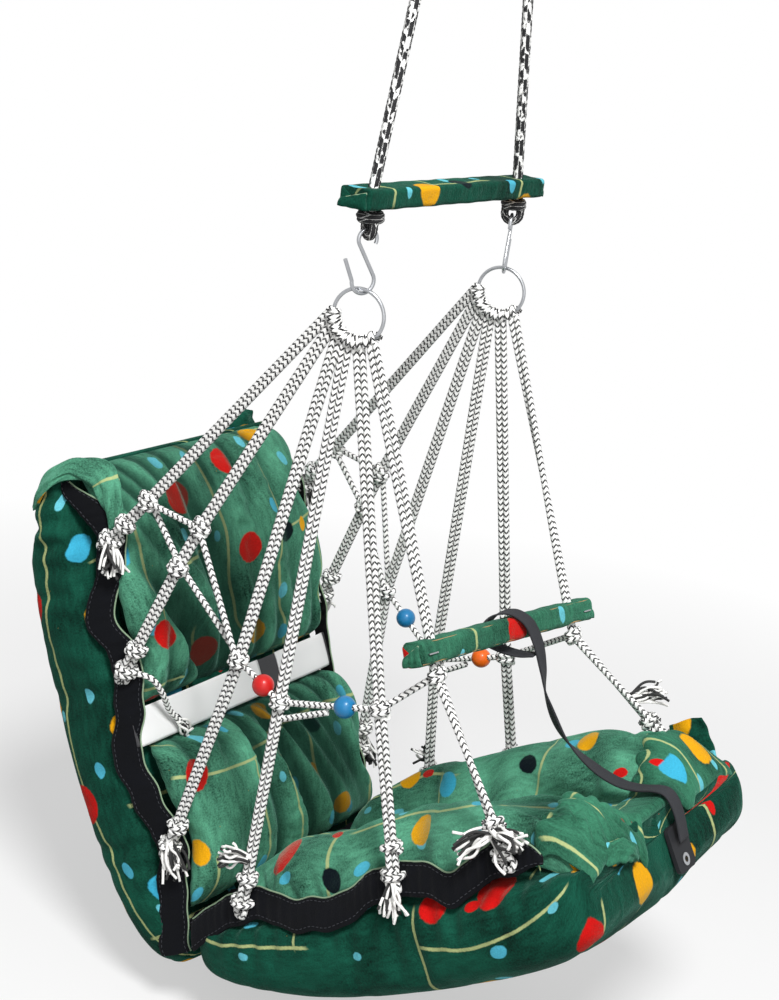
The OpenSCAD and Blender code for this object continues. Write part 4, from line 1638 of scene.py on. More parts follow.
@dataclass
class CordNet:
    """Doubled cords from the rings to the ties, linked into a net by single strands."""

    cord_d: float = 0.006
    strand_off: float = 0.0031
    reach: float = LAYOUT.ring_r + 0.004
    bend: float = 0.012
    back_join: tuple = (0.154, 0.196, -0.222)
    upper: tuple = (0.15, 0.131, -0.231)
    flank: tuple = (0.155, 0.15, -0.276)
    low_row_right: tuple = ((0.154, 0.067, -0.345), (0.153, 0.015, -0.37), (0.148, -0.092, -0.34))
    low_row_left: tuple = ((0.154, 0.106, -0.362), (0.153, 0.032, -0.42), (0.15, -0.055, -0.385))
    frays_right: tuple = (
        (0, 0.004, (0.25, -0.45, -0.85), 0.034), (2, 0.012, (0.15, -0.55, -0.8), 0.036),
        (3, 0.05, (0.35, 0.75, 0.15), 0.03), (4, 0.0, (0.25, -0.35, -0.9), 0.032),
        (5, 0.022, (0.35, 0.8, -0.5), 0.038), (5, 0.02, (0.3, -0.85, 0.28), 0.038))
    frays_left: tuple = (
        (0, 0.004, (0.3, -0.3, -0.85), 0.03), (1, 0.004, (0.4, 0.2, -0.85), 0.03),
        (2, 0.012, (0.4, -0.2, -0.8), 0.034), (3, 0.04, (0.5, 0.6, 0.15), 0.03),
        (4, 0.0, (0.4, -0.3, -0.9), 0.032), (5, 0.058, (0.45, -0.5, 0.3), 0.042))
    tail_right: tuple = (
        (-0.151, 0.262, 0.036), (-0.138, 0.242, 0.034), (-0.126, 0.224, 0.025), (-0.112, 0.207, 0.022))
    yarns: int = 22
    fan: float = 0.21
    curl: float = 0.006
    doubled: float = 0.036
    yarn_d: float = 0.0028
    dark_yarns: float = 0.36
    rng: np.random.Generator = field(default_factory=lambda: np.random.default_rng(7))

    def low_row(self, side: Side) -> tuple:
        """Rear, middle and fore knot of the net's lower row."""
        return self.low_row_left if side is Side.LEFT else self.low_row_right

    def hub(self, side: Side) -> Array:
        """Place of the net's knot under the grab bar."""
        return LAYOUT.hub(side) + np.array([0, 0, LAYOUT.ring_z])

    def routes(self, side: Side) -> dict[str, list]:
        """Net points of each doubled cord but the front one, in the order of the hitches and ties.

        Args:
            side: Side of the net.

        Returns:
            The points by the name of each cord.
        """
        rear, middle, fore = self.low_row(side)
        return {
            "back_top_cord": [], "back_middle_cord": [self.upper, self.flank], "back_low_cord": [rear],
            "seat_rear_cord": [middle], "seat_middle_cord": [fore],
        }

    def strand(self, side: Side, hitch: int, points: list[Array], hand: int) -> Array:
        """One strand of a doubled cord.

        Args:
            side: Side of the net.
            hitch: Number of the hitch at which it starts.
            points: Places that the cord passes after the hitch.
            hand: Which of the two strands, -1 or 1.

        Returns:
            The strand's rounded polyline.
        """
        angle = LAYOUT.hitch_angles[hitch]
        places = [LAYOUT.ring_point(side, angle, self.reach), *points]
        first = LAYOUT.ring_tangent(angle)
        line = []
        for i, place in enumerate(places):
            ahead = unit(places[min(i + 1, len(places) - 1)] - places[max(i - 1, 0)])
            across = unit(np.cross(ahead, (1, 0, 0)))
            across = first if i == 0 else across * (1 if across @ first >= 0 else -1)
            line.append(place + hand * self.strand_off * across)
        return rounded_path(line, self.bend)

    def front_strand(self, side: Side, hand: int) -> Array:
        """One strand of the front cord, through the grab bar and on to its tie.

        Args:
            side: Side of the net.
            hand: Which of the two strands, -1 or 1.

        Returns:
            The strand's rounded polyline.
        """
        start, hub = LAYOUT.flip(LAYOUT.front_start, side), self.hub(side)
        tangent = LAYOUT.ring_tangent(LAYOUT.hitch_angles[5])
        line = []
        for share in np.linspace(0, 1, 7):
            turn = min(math.pi / 2, share * math.radians(120))
            across = math.cos(turn) * tangent + math.sin(turn) * np.array([side.value, 0, 0])
            line.append(start + share * (hub - start) + hand * self.strand_off * across)
        foot = LAYOUT.tie(5, side)
        across = unit(np.cross(foot - hub, (0, 1, 1)))
        across = across if across[0] * side.value > 0 else -across
        line.append(foot + hand * self.strand_off * across)
        return rounded_path(line, self.bend)

    def coil(
            self, centre: Array, axis: Array, radii: tuple[float, float], turns: float,
            phase: float) -> Array:
        """A wrapped knot: turns of cord round an axis.

        Args:
            centre: Middle of the knot.
            axis: Direction of the cords that it wraps.
            radii: Radii of the turns across the two strands and square to them.
            turns: Number of turns.
            phase: Angle at which the turns start.

        Returns:
            The coil's polyline.
        """
        axis = unit(axis)
        wide = np.cross(axis, (1.0, 0, 0))
        wide = unit(wide) if np.linalg.norm(wide) > 0.2 else np.array([0, 1.0, 0])
        deep = np.cross(axis, wide)
        share = np.linspace(0, 1, int(26 * turns))
        angle = 2 * math.pi * turns * share + phase
        rise = (share - 0.5) * self.cord_d * 0.93 * turns
        loose = 1 + 0.06 * np.sin(5 * angle + 3 * phase)
        return (centre + rise[:, None] * axis + (radii[0] * loose * np.cos(angle))[:, None] * wide
                + (radii[1] * loose * np.sin(angle))[:, None] * deep)

    def braid(self, stem: str, node: str, side: Side, paths: list[Array]) -> None:
        """Makes braided cord along paths.

        Args:
            stem: First words of the piece's name.
            node: First words of the node's name.
            side: Side of the net.
            paths: The paths.
        """
        cord_piece(
            f"{stem}_braid_{side.label}", paths, NET_BRAID, f"{node}_{side.label}",
            Diameter=self.cord_d, Sides=18, Step=0.0009, Plait=NET_BRAID.plait, Relief=0.0004)

    def hitches(self, side: Side) -> list[Array]:
        """Cord wound round the wire of a ring at each hitch.

        Args:
            side: Side of the net.

        Returns:
            The coil of each hitch.
        """
        coils = []
        out = np.array([math.cos(LAYOUT.ring_yaw), math.sin(LAYOUT.ring_yaw), 0])
        share = np.linspace(-0.5, 0.5, 44)
        wrap = 2 * math.pi * 1.7 * share
        radius = LAYOUT.ring_wire / 2 + self.cord_d * 0.46
        for angle in LAYOUT.hitch_angles:
            path = []
            for a, w in zip(angle + share * 0.0105 / LAYOUT.ring_r, wrap):
                radial = LAYOUT.ring_point(side, a, 1.0) - LAYOUT.ring_point(side, a, 0.0)
                centre = LAYOUT.ring_point(side, a, LAYOUT.ring_r)
                path.append(centre + radius * (math.cos(w) * radial + math.sin(w) * out))
            coils.append(np.array(path))
        return coils

    def knots(self, side: Side) -> list[Array]:
        """Wrapped knots of the net.

        Args:
            side: Side of the net.

        Returns:
            The coils of all the knots.
        """
        hub = self.hub(side)
        ring = np.array([side.value * LAYOUT.line_x, 0, LAYOUT.ring_z])
        coils = []
        for number, point in enumerate((self.back_join, self.upper, self.flank, *self.low_row(side))):
            place = LAYOUT.flip(point, side)
            aim = np.array([0, 0.4, -1.0]) if number == 0 else place - ring
            over = np.cross(unit(aim), (1.0, 0.3, 0))
            coils.append(self.coil(place, aim, (0.0076, 0.0056), 2.3, 0.8 * number))
            coils.append(self.coil(place, over, (0.0058, 0.0052), 1.2, number))
        coils.append(self.coil(hub, LAYOUT.grab_axis, (0.0056, 0.0072), 1.6, 0.4))
        below = hub - 0.003 * LAYOUT.grab_axis
        coils.append(self.coil(below, np.array([0, 1.0, 0.2]), (0.0058, 0.0056), 1.2, 2.0))
        return coils

    def links(self, side: Side) -> list[Array]:
        """Single strands between neighbouring cords.

        Args:
            side: Side of the net.

        Returns:
            The two ends of each strand.
        """
        apart = np.array([0.0033, 0, 0])
        hub = LAYOUT.hub(side) * np.array([side.value, 1, 1])
        rear, middle, fore = (np.array(p) for p in self.low_row(side))
        join, upper, flank = np.array(self.back_join), np.array(self.upper), np.array(self.flank)
        bead = middle + 0.66 * (fore - middle)
        second = bead + unit(middle - bead) * 0.0185 + np.array([0, 0, -0.0066])
        pairs = [
            (join + apart, upper + apart), (upper + apart, rear + apart), (join - apart, flank - apart),
            (flank - apart, rear - apart), (rear, middle), (middle, fore), (fore, hub),
            (middle + np.array([0, 0.004, -0.02]), second),
        ]
        return [np.array([LAYOUT.flip(a, side), LAYOUT.flip(b, side)]) for a, b in pairs]

    def cord_up(self, index: int, side: Side) -> Array:
        """Direction of the cord as it leaves a tie.

        Args:
            index: Number of the tie.
            side: Side of the net.

        Returns:
            The direction.
        """
        if index == 5:
            return unit(self.hub(side) - LAYOUT.tie(5, side))
        points = list(self.routes(side).values())[index]
        start = LAYOUT.ring_point(side, LAYOUT.hitch_angles[index], self.reach)
        last = LAYOUT.flip(points[-1], side) if points else start
        return unit(last - LAYOUT.tie(index, side))

    def tail(self) -> Array:
        """The loose braided tail of the second tie on the right."""
        places = [LAYOUT.at(Panel.BACK, *place) for place in self.tail_right]
        return smooth_path([LAYOUT.tie(1, Side.RIGHT), *places], 40)

    def ties(self, side: Side) -> list[Array]:
        """Tie knots on the binding: the cord's end doubled back, wrapped, with a loop into the cloth.

        Args:
            side: Side of the net.

        Returns:
            The lines of all the ties.
        """
        coils = [self.tail()] if side is Side.RIGHT else []
        share = np.linspace(0, 1, 16)[:, None]
        bow = 0.0042 + 0.0022 * np.sin(math.pi * share)
        for index in range(6):
            place, up = LAYOUT.tie(index, side), self.cord_up(index, side)
            deep = unit(np.cross(up, np.cross((side.value, 0, 0.25), up)))
            coils += [place + self.doubled * share * up + hand * bow * deep for hand in (-1, 1)]
            coils.append(self.coil(place + 0.003 * up, up, (0.0092, 0.0088), 1.7, 1.1 * index))
            coils.append(self.coil(place + self.doubled * 0.8 * up, up, (0.0078, 0.0084), 1.5, 0.7 * index))
            coils.append(self.coil(place - 0.007 * up, deep, (0.0058, 0.0056), 1.15, index))
        return coils

    def fray(
            self, base: Array, aim: Sequence[float], size: float,
            count: int) -> tuple[list[Array], list[float]]:
        """A brush of loose strands at a cord's end.

        Args:
            base: Where the strands start.
            aim: Direction of the brush.
            size: Length of the longest strand.
            count: Number of strands.

        Returns:
            The strands' lines and their dyes.
        """
        paths, dyes = [], []
        share = np.linspace(0, 1, 10)[:, None]
        for _ in range(count):
            ahead = unit(unit(np.array(aim)) + self.rng.normal(0, self.fan, 3))
            bow = unit(np.cross(ahead, self.rng.normal(0, 1, 3))) * self.curl
            line = base + self.rng.normal(0, 0.0022, 3) + size * self.rng.uniform(0.7, 1.0) * share * ahead
            line = line + bow * share * np.sin(share * math.pi * self.rng.uniform(0.9, 2.4))
            line[:, 2] -= 0.16 * size * share[:, 0] ** 2
            paths.append(line)
            dyes.append(1.0 if self.rng.random() < self.dark_yarns else 0.0)
        return paths, dyes

    def tassels(self, side: Side) -> tuple[list[Array], list[float]]:
        """Frayed cord ends at the ties.

        Args:
            side: Side of the net.

        Returns:
            The strands' lines and their dyes.
        """
        paths, dyes, brushes = [], [], []
        aside = np.array([side.value * 0.004, 0, 0])
        for index, up, aim, size in (self.frays_left if side is Side.LEFT else self.frays_right):
            base = LAYOUT.tie(index, side) + up * self.cord_up(index, side) + aside
            brushes.append((base, np.array(aim) * (side.value, 1, 1), size, self.yarns))
        if side is Side.RIGHT:
            tail = self.tail()
            brushes.append((tail[-1], tail[-1] - tail[-6], 0.022, 12))
        for brush in brushes:
            lines, shades = self.fray(*brush)
            paths += lines
            dyes += shades
        return paths, dyes

    def build(self) -> None:
        """Makes both sides of the net."""
        for side in Side:
            for number, (node, points) in enumerate(self.routes(side).items()):
                places = [LAYOUT.flip(p, side) for p in points] + [LAYOUT.tie(number, side)]
                self.braid(node, node, side, [self.strand(side, number, places, hand) for hand in (-1, 1)])
            front = [self.front_strand(side, hand) for hand in (-1, 1)]
            self.braid("seat_front_cord", "seat_front_cord", side, front)
            self.braid("net_link", "net_links", side, self.links(side))
            self.braid("net_knot", "net_knots", side, self.knots(side))
            self.braid("ring_hitch", "ring_hitches", side, self.hitches(side))
            self.braid("tie_knot", "tie_knots", side, self.ties(side))
            yarns, dyes = self.tassels(side)
            cord_piece(
                f"tassel_yarn_{side.label}", yarns, YARN, f"tassels_{side.label}", dyes=dyes,
                Diameter=self.yarn_d, Sides=7, Step=0.0026, Relief=0.0)
        for node, finish in BEADS.items():
            finish_node(node, finish)


# Padded seat

@dataclass(frozen=True)
class Fold:
    """A gathered fold that starts at one end of a cushion and dies out along it."""

    x: float
    lean: float
    depth: float
    width: float
    reach: float
    skew: float = 1.0


@dataclass
class PaddedPiece:
    """A stuffed piece lofted from rings along one half of the seat."""

    name: str
    node: str
    panel: Panel
    span: tuple[float, float]
    half_w: float
    rows: int
    cols: int
    shift: tuple[float, float]
    fill: float
    bulge: float = 0.007
    pressure: float = 1.5
    slack: float = 0.05
    reach: float = 0.006
    low_folds: tuple[Fold, ...] = ()
    high_folds: tuple[Fold, ...] = ()
    spare: float = 0.003

    def stations(self) -> Array:
        """Shares of the half length, closer together near the ends."""
        even = np.linspace(-1, 1, self.rows)
        return 0.992 * (0.45 * even + 0.55 * np.sin(even * math.pi / 2))

    def along(self, share: float) -> float:
        """Distance along the half at a share of the half length."""
        return (self.span[0] + self.span[1]) / 2 + share * (self.span[1] - self.span[0]) / 2

    def local(self, points: Array) -> tuple[Array, Array, Array]:
        """Sideways place, share of the half length and height of points.

        Args:
            points: Places, one row each.

        Returns:
            The three values of each point.
        """
        origin, ahead, up = (LAYOUT.at(self.panel, 0, *step) for step in ((0, 0), (1, 0), (0, 1)))
        offset = points - origin
        share = (offset @ (ahead - origin) - self.along(0)) / (self.along(1) - self.along(0))
        return points[:, 0], share, offset @ (up - origin)

    def gathers(self, x: Array, share: Array) -> Array:
        """Depth of all folds at places of the piece.

        Args:
            x: Sideways places.
            share: Shares of the half length.

        Returns:
            The depths.
        """
        size = self.span[1] - self.span[0]
        depth = np.zeros_like(x)
        for folds, end in ((self.low_folds, -1), (self.high_folds, 1)):
            distance = (1 - end * share) / 2 * size
            for fold in folds:
                aside = x - fold.x - fold.lean * distance
                wide = fold.width * (1 + 0.8 * distance / size) * np.where(aside > 0, fold.skew, 1.0)
                depth += fold.depth * bell(distance, fold.reach) * bell(aside, wide)
        return depth

    def drawn_in(self, x: Array, share: float) -> Array:
        """Sideways places after the ties have drawn the piece in.

        Args:
            x: Sideways places before.
            share: Share of the half length.

        Returns:
            The new places.
        """
        factors = []
        for side in (Side.LEFT, Side.RIGHT):
            pulls = [bell(self.along(share) - tie[0], 0.03) for tie in LAYOUT.ties(self.panel, side)]
            factors.append(1.03 - 0.09 * max(pulls))
        return x * np.where(x > 0, *factors)

    def section(self, share: float) -> tuple[Array, Array]:
        """Sideways places and heights of one dense ring."""
        raise NotImplementedError

    def ring(self, share: float) -> Array:
        """Evenly spaced ring at one station.

        Args:
            share: Share of the half length.

        Returns:
            The ring.
        """
        x, n = self.section(share)
        outline = np.stack([np.append(x, x[0]), np.append(n, n[0])], axis=1)
        outline = resampled(outline, self.cols + 1)[:-1]
        return LAYOUT.at(self.panel, outline[:, 0], self.along(share), outline[:, 1])

    def pinned(self, points: Array) -> Array:
        """Which points the seams and the gathers hold."""
        x, share, n = self.local(points)
        return (n < 0.006) | (self.gathers(x, share) > 0.006)

    def build(self) -> Obj:
        """Makes the plain stuffed form and marks how deep each point lies in a fold.

        Returns:
            The plain form.
        """
        rings = np.array([self.ring(share) for share in self.stations()])
        flat = LAYOUT.at(self.panel, 0, 0, 1) - LAYOUT.at(self.panel, 0, 0, 0)
        made = loft_object(self.name, capped(rings, self.bulge, 7, flat), self.shift)
        x, share, _ = self.local(places_of(made))
        # The fold depth also serves the printed velvet as a mask of painted shade in the creases.
        folds = made.data.attributes.new(FOLD_SHADE, "FLOAT", "POINT")
        folds.data.foreach_set("value", np.clip(self.gathers(x, share) / 0.014, 0, 1))
        return made


@dataclass
class Shell(PaddedPiece):
    """An outer shell, flat towards the cushions and full behind."""

    depth: float = 0.1
    thin: float = 0.36
    high_thin: float = 0.36
    narrow: float = 0.82
    high_narrow: float = 0.82
    low_round: float = 2.0
    high_round: float = 3.0
    crease: float = 0.0024
    crease_pitch: float = 0.03

    def section(self, share: float) -> tuple[Array, Array]:
        """Squarish ring that starts at the hidden middle of the front face.

        Args:
            share: Share of the half length.

        Returns:
            Sideways places and heights.
        """
        turn = full_turn(400) + math.pi / 2
        drawn = 1 - 0.035 * math.cos(math.pi / 2 * share) ** 2
        narrow, thin, rounding = (
            (self.high_narrow, self.high_thin, self.high_round) if share > 0
            else (self.narrow, self.thin, self.low_round))
        half_w = (self.half_w - self.spare) * drawn * (narrow + (1 - narrow) * end_round(share, 4))
        depth = (self.depth - self.spare) * (thin + (1 - thin) * end_round(share, rounding))
        x, n = half_w * power(np.cos(turn), 0.4), -depth / 2 + depth / 2 * power(np.sin(turn), 0.4)
        drag = np.zeros_like(x)
        for side in Side:
            for place, _ in LAYOUT.ties(self.panel, side):
                away = self.along(share) - place
                fan = np.sin(away / self.crease_pitch * 2 * math.pi * (1 + 0.012 / (0.03 - n)))
                drag += (x * side.value > 0) * fan * bell(away, 0.06) * bell(n, 0.045)
        return x * (1 - self.crease * drag / half_w), n

    def pinned(self, points: Array) -> Array:
        """The front face lies against the cushions and the binding."""
        return self.local(points)[2] > -0.007


@dataclass
class BackCushion(PaddedPiece):
    """A back cushion, gathered into folds by the belt."""

    crown: float = 0.056

    def section(self, share: float) -> tuple[Array, Array]:
        """Crowned ring that starts at the hidden middle of its base.

        Args:
            share: Share of the half length.

        Returns:
            Sideways places and heights.
        """
        turn = full_turn(500) - math.pi / 2
        drawn = 1 - 0.03 * math.cos(math.pi / 2 * share)
        half_w = (self.half_w - self.spare) * drawn * (0.86 + 0.14 * end_round(share, 4))
        crown = (self.crown - self.spare) * end_round(share, 2.6)
        x = self.drawn_in(half_w * power(np.cos(turn), 0.6), share)
        lift = (1 + power(np.sin(turn), 0.7)) / 2
        gather = self.gathers(x, share) * lift ** 2 * end_round(share, 3)
        return x, 0.0004 + crown * lift - np.minimum(gather, 0.8 * crown * lift)


@dataclass
class SeatCushion(PaddedPiece):
    """The seat cushion with a full roll along each side and a valley between them."""

    crown: float = 0.057
    roll_at: float = 0.62
    valley: float = 0.02
    valley_half: float = 0.2
    edge_h: float = 0.002
    sink: float = 0.012

    def section(self, share: float) -> tuple[Array, Array]:
        """Ring with two rolls that starts at the hidden middle of its base.

        Args:
            share: Share of the half length.

        Returns:
            Sideways places and heights.
        """
        turn = full_turn(600) - math.pi / 2
        drawn = 1 - 0.03 * math.cos(math.pi / 2 * share)
        half_w = (self.half_w - self.spare) * drawn * (0.84 + 0.16 * end_round(share, 4))
        crown = (self.crown - self.spare) * end_round(share, 5.0 if share > 0 else 2.8)
        r = power(np.cos(turn), 0.8)
        slope = np.clip((np.abs(r) - self.valley_half) / (self.roll_at - self.valley_half), 0, 1)
        inner = self.valley + (1 - self.valley) * np.sin(slope * math.pi / 2) ** 2
        outer = np.sqrt(np.maximum(0, 1 - ((np.abs(r) - self.roll_at) / (1 - self.roll_at)) ** 2))
        top = np.where(np.sin(turn) > 0, crown * np.where(np.abs(r) < self.roll_at, inner, outer), 0)
        x = self.drawn_in(half_w * r, share)
        top = top - np.minimum(self.gathers(x, share) * end_round(share, 3), 0.75 * top)
        rim = self.edge_h * end_round(share, 3) * np.minimum(1, 1 + np.sin(turn))
        sunk = self.sink * bell(share - 1, 0.12) * np.minimum(1, 1 - np.sin(turn))
        return x, 0.0004 + top + rim - sunk

    def pinned(self, points: Array) -> Array:
        """The valley between the rolls is sewn down as well."""
        aside = np.abs(self.local(points)[0])
        return super().pinned(points) | (aside < self.valley_half * self.half_w)


STUFFING = {
    "quality": 5, "mass": 0.2, "tension_stiffness": 12, "compression_stiffness": 6, "shear_stiffness": 4,
    "bending_stiffness": 0.25, "air_damping": 4, "use_pressure": True,
}


def stuff(pieces: list[tuple[PaddedPiece, Obj]], frames: int = 16) -> None:
    """Swells padded pieces as cloth over filling, all in one run.

    Args:
        pieces: Each padded piece with its plain form.
        frames: Number of steps of the simulation.
    """
    scene = bpy.context.scene
    rests = []
    for piece, obj in pieces:
        rest = places_of(obj)
        rests.append(rest)
        seams = obj.vertex_groups.new(name="seams")
        seams.add(np.flatnonzero(piece.pinned(rest)).tolist(), 1.0, "REPLACE")
        cloth = obj.modifiers.new("stuffing", "CLOTH")
        for label, value in STUFFING.items():
            setattr(cloth.settings, label, value)
        cloth.settings.uniform_pressure_force = piece.pressure
        cloth.settings.shrink_min = -piece.slack
        cloth.settings.vertex_group_mass = seams.name
        cloth.settings.effector_weights.gravity = 0
        cloth.collision_settings.use_collision = False
        cloth.point_cache.frame_start = 1
        cloth.point_cache.frame_end = frames
    for step in range(1, frames + 1):
        scene.frame_set(step)
    graph = bpy.context.evaluated_depsgraph_get()
    for (piece, obj), rest in zip(pieces, rests):
        travel = places_of(obj.evaluated_get(graph)) - rest
        size = np.maximum(np.linalg.norm(travel, axis=1, keepdims=True), 1e-9)
        travel *= piece.reach * np.tanh(size / piece.reach) / size
        obj.modifiers.clear()
        obj.vertex_groups.clear()
        obj.data.vertices.foreach_set("co", (rest + travel).ravel())
        obj.data.update()
        log.info("%s swelled by up to %.1f mm", obj.name, 1000 * np.linalg.norm(travel, axis=1).max())
    scene.frame_set(1)


def subdivide(obj: Obj) -> None:
    """Smooths a padded piece by one subdivision."""
    smooth = obj.modifiers.new("smooth", "SUBSURF")
    smooth.levels = smooth.render_levels = 1


@dataclass
class PaddedSeat:
    """Shells, cushions, bindings, belt and corners of the seat."""

    binding_w: float = 0.032
    binding_t: float = 0.0036
    binding_taper: float = 0.04
    binding_crown: float = 0.0022
    back_span: tuple[float, float] = (-0.016, 0.47)
    seat_span: tuple[float, float] = (-0.006, 0.42)
    slack_shift: float = -0.008
    pull_len: float = 0.056
    belt_at: float = 0.215
    belt_w: float = 0.036
    belt_half: float = 0.164
    belt_flat: float = 0.132
    belt_height: float = 0.011
    panel_ends: tuple = ((-0.16, 0.032), (0.064, 0.152))
    cover_from: float = 0.402
    cover_low: float = -0.078
    ear_at: tuple[float, float] = (-0.088, 0.5)
    ear_fold: float = 0.0026
    cover_span: tuple[float, float] = (-0.148, 0.148)
    cover_off: float = 0.0052
    cover_tuck: float = 0.0024
    flap_t: float = 0.0032

    def padded(self) -> list[PaddedPiece]:
        """The five padded pieces.

        Returns:
            The pieces, not yet built.
        """
        upper_low = (
            Fold(-0.056, -0.54, 0.036, 0.008, 0.11, 3.6), Fold(-0.022, -0.05, 0.024, 0.009, 0.2, 3.2),
            Fold(-0.115, 0.05, 0.013, 0.008, 0.07), Fold(-0.088, 0.1, 0.013, 0.007, 0.06),
            Fold(0.028, 0.02, 0.015, 0.008, 0.1, 2.0), Fold(0.062, -0.03, 0.013, 0.008, 0.09, 1.6),
            Fold(0.094, -0.05, 0.014, 0.008, 0.1), Fold(0.127, -0.06, 0.011, 0.007, 0.07))
        upper_high = (
            Fold(-0.148, 0.5, 0.012, 0.006, 0.12, 1.5), Fold(-0.13, 0.62, 0.016, 0.007, 0.14, 1.8),
            Fold(-0.108, 0.6, 0.014, 0.006, 0.12, 1.5), Fold(-0.076, 0.35, 0.014, 0.008, 0.09, 1.8),
            Fold(-0.04, 0.1, 0.012, 0.007, 0.08), Fold(0.004, 0.02, 0.012, 0.008, 0.07),
            Fold(0.05, -0.04, 0.012, 0.008, 0.08), Fold(0.095, -0.08, 0.012, 0.008, 0.07))
        lower_high = (
            Fold(-0.118, -0.05, 0.011, 0.008, 0.05), Fold(-0.07, -0.15, 0.012, 0.009, 0.05),
            Fold(-0.034, 0.05, 0.022, 0.007, 0.1, 1.8), Fold(-0.008, 0.28, 0.024, 0.007, 0.15, 2.0),
            Fold(0.016, 0.44, 0.022, 0.007, 0.16, 2.0), Fold(0.04, 0.5, 0.018, 0.007, 0.15, 1.8),
            Fold(0.066, 0.45, 0.016, 0.007, 0.13, 1.6), Fold(0.096, 0.25, 0.014, 0.008, 0.1),
            Fold(0.128, 0.15, 0.012, 0.007, 0.08))
        lower_low = (
            Fold(-0.09, 0.1, 0.011, 0.008, 0.05), Fold(-0.03, 0.1, 0.013, 0.008, 0.06),
            Fold(0.03, -0.05, 0.013, 0.008, 0.06), Fold(0.08, -0.1, 0.011, 0.008, 0.05))
        front = (
            Fold(-0.128, 0.3, 0.014, 0.006, 0.06, 1.6), Fold(-0.106, 0.14, 0.016, 0.006, 0.075, 1.5),
            Fold(-0.084, -0.05, 0.016, 0.006, 0.07), Fold(-0.06, -0.25, 0.012, 0.006, 0.05),
            Fold(0.07, 0.1, 0.012, 0.006, 0.06), Fold(0.1, -0.05, 0.012, 0.006, 0.06),
            Fold(0.128, -0.2, 0.010, 0.006, 0.05))
        rear = (
            Fold(-0.1, 0.05, 0.013, 0.008, 0.06), Fold(-0.04, 0.1, 0.013, 0.008, 0.06),
            Fold(0.04, -0.1, 0.013, 0.008, 0.06), Fold(0.1, -0.05, 0.013, 0.008, 0.06))
        return [
            Shell("back_shell_cloth", "back_shell", Panel.BACK, (-0.026, 0.482), 0.18, 110, 150,
                  (0.0, 0.0), 0.7, pressure=1.4, slack=0.05, reach=0.006,
                  high_thin=0.1, high_narrow=0.96, high_round=2.0),
            Shell("seat_shell_cloth", "seat_shell", Panel.SEAT, (-0.012, 0.448), 0.18, 100, 150,
                  (2.1, 0.4), 0.7, pressure=1.6, slack=0.05, reach=0.008,
                  depth=0.097, thin=0.5, high_thin=0.5, narrow=0.8, high_narrow=0.84, high_round=4.0),
            BackCushion("back_upper_cloth", "back_upper_cushion", Panel.BACK, (0.238, 0.478), 0.157, 70, 190,
                        (3.3, 1.2), 0.75, low_folds=upper_low, high_folds=upper_high),
            BackCushion("back_lower_cloth", "back_lower_cushion", Panel.BACK, (0.024, 0.192), 0.157, 56, 190,
                        (4.7, 2.6), 0.75, low_folds=lower_low, high_folds=lower_high),
            SeatCushion("seat_cushion_cloth", "seat_cushion", Panel.SEAT, (0.026, 0.442), 0.157, 96, 190,
                        (6.2, 3.1), 0.8, low_folds=rear, high_folds=front),
        ]

    def shift_at(self, u: Array, ties: tuple) -> Array:
        """How far the binding is drawn forward along the seam."""
        pulls = [(c[1] - self.slack_shift) * bell(u - c[0], self.pull_len) for c in ties]
        return self.slack_shift + np.sum(np.array(pulls) ** 4, axis=0) ** 0.25

    def binding(self, side: Side, panel: Panel) -> None:
        """One black binding band with its rows of stitches and its pale edge.

        Args:
            side: Side of the part.
            panel: The half that it borders.
        """
        span = self.back_span if panel is Panel.BACK else self.seat_span
        half = self.binding_w / 2
        u = np.linspace(*span, 150)[:, None]
        shift = self.shift_at(u, LAYOUT.ties(panel, side))
        shift = shift + 0.0016 * np.sin(u * 95 + side.value) + 0.001 * np.sin(u * 173)
        mid_x, mid_n = LAYOUT.binding_mid(shift)
        out_x, out_n = LAYOUT.binding_out

        def placed(across: Array, height: Array | float) -> Array:
            """Places across the band and above its middle."""
            x, n = mid_x - across * out_n + height * out_x, mid_n + across * out_x + height * out_n
            return LAYOUT.at(panel, side.value * x, u, n)

        turn = full_turn(28)
        taper = 1 - 0.72 * np.clip((u - span[1]) / self.binding_taper + 1, 0, 1) ** 2
        across = half * power(np.cos(turn), 0.75) * taper
        near = np.clip((shift - self.slack_shift) / 0.03, 0, 1)
        pleat = 0.0011 * near * np.sin(u * 560 + 4 * np.sin(u * 31))
        crown = self.binding_crown * (taper ** 2 - (across / half) ** 2) + pleat
        rings = placed(across, self.binding_t / 2 * power(np.sin(turn), 0.75) + crown)
        stem = f"{panel.value}_binding"
        band = loft_object(f"{stem}_cloth_{side.label}", capped(rings, 0.0008, 2))
        dress_piece(band, "seat", [f"{stem}_{side.label}"], DARK)
        rows = []
        for share in (-0.75, 0.75):
            lift = self.binding_t / 2 + self.binding_crown * taper ** 2 * (1 - share ** 2) + pleat
            rows.append(placed(share * half * taper, lift)[:, 0])
        thread = STITCH.grow(
            polyline_object(rows), f"{stem}_thread_{side.label}", THREAD,
            Pitch=0.0052, Stitch=0.0036, Thread=0.0008)
        dress_piece(thread, "seat", [], THREAD)
        rim = placed(half * taper - 0.0002, 0.0008)[:, 0]
        cord_piece(
            f"{stem}_hem_{side.label}", [rim], SELVAGE, "",
            Diameter=0.0017, Sides=8, Step=0.003, Relief=0.0)

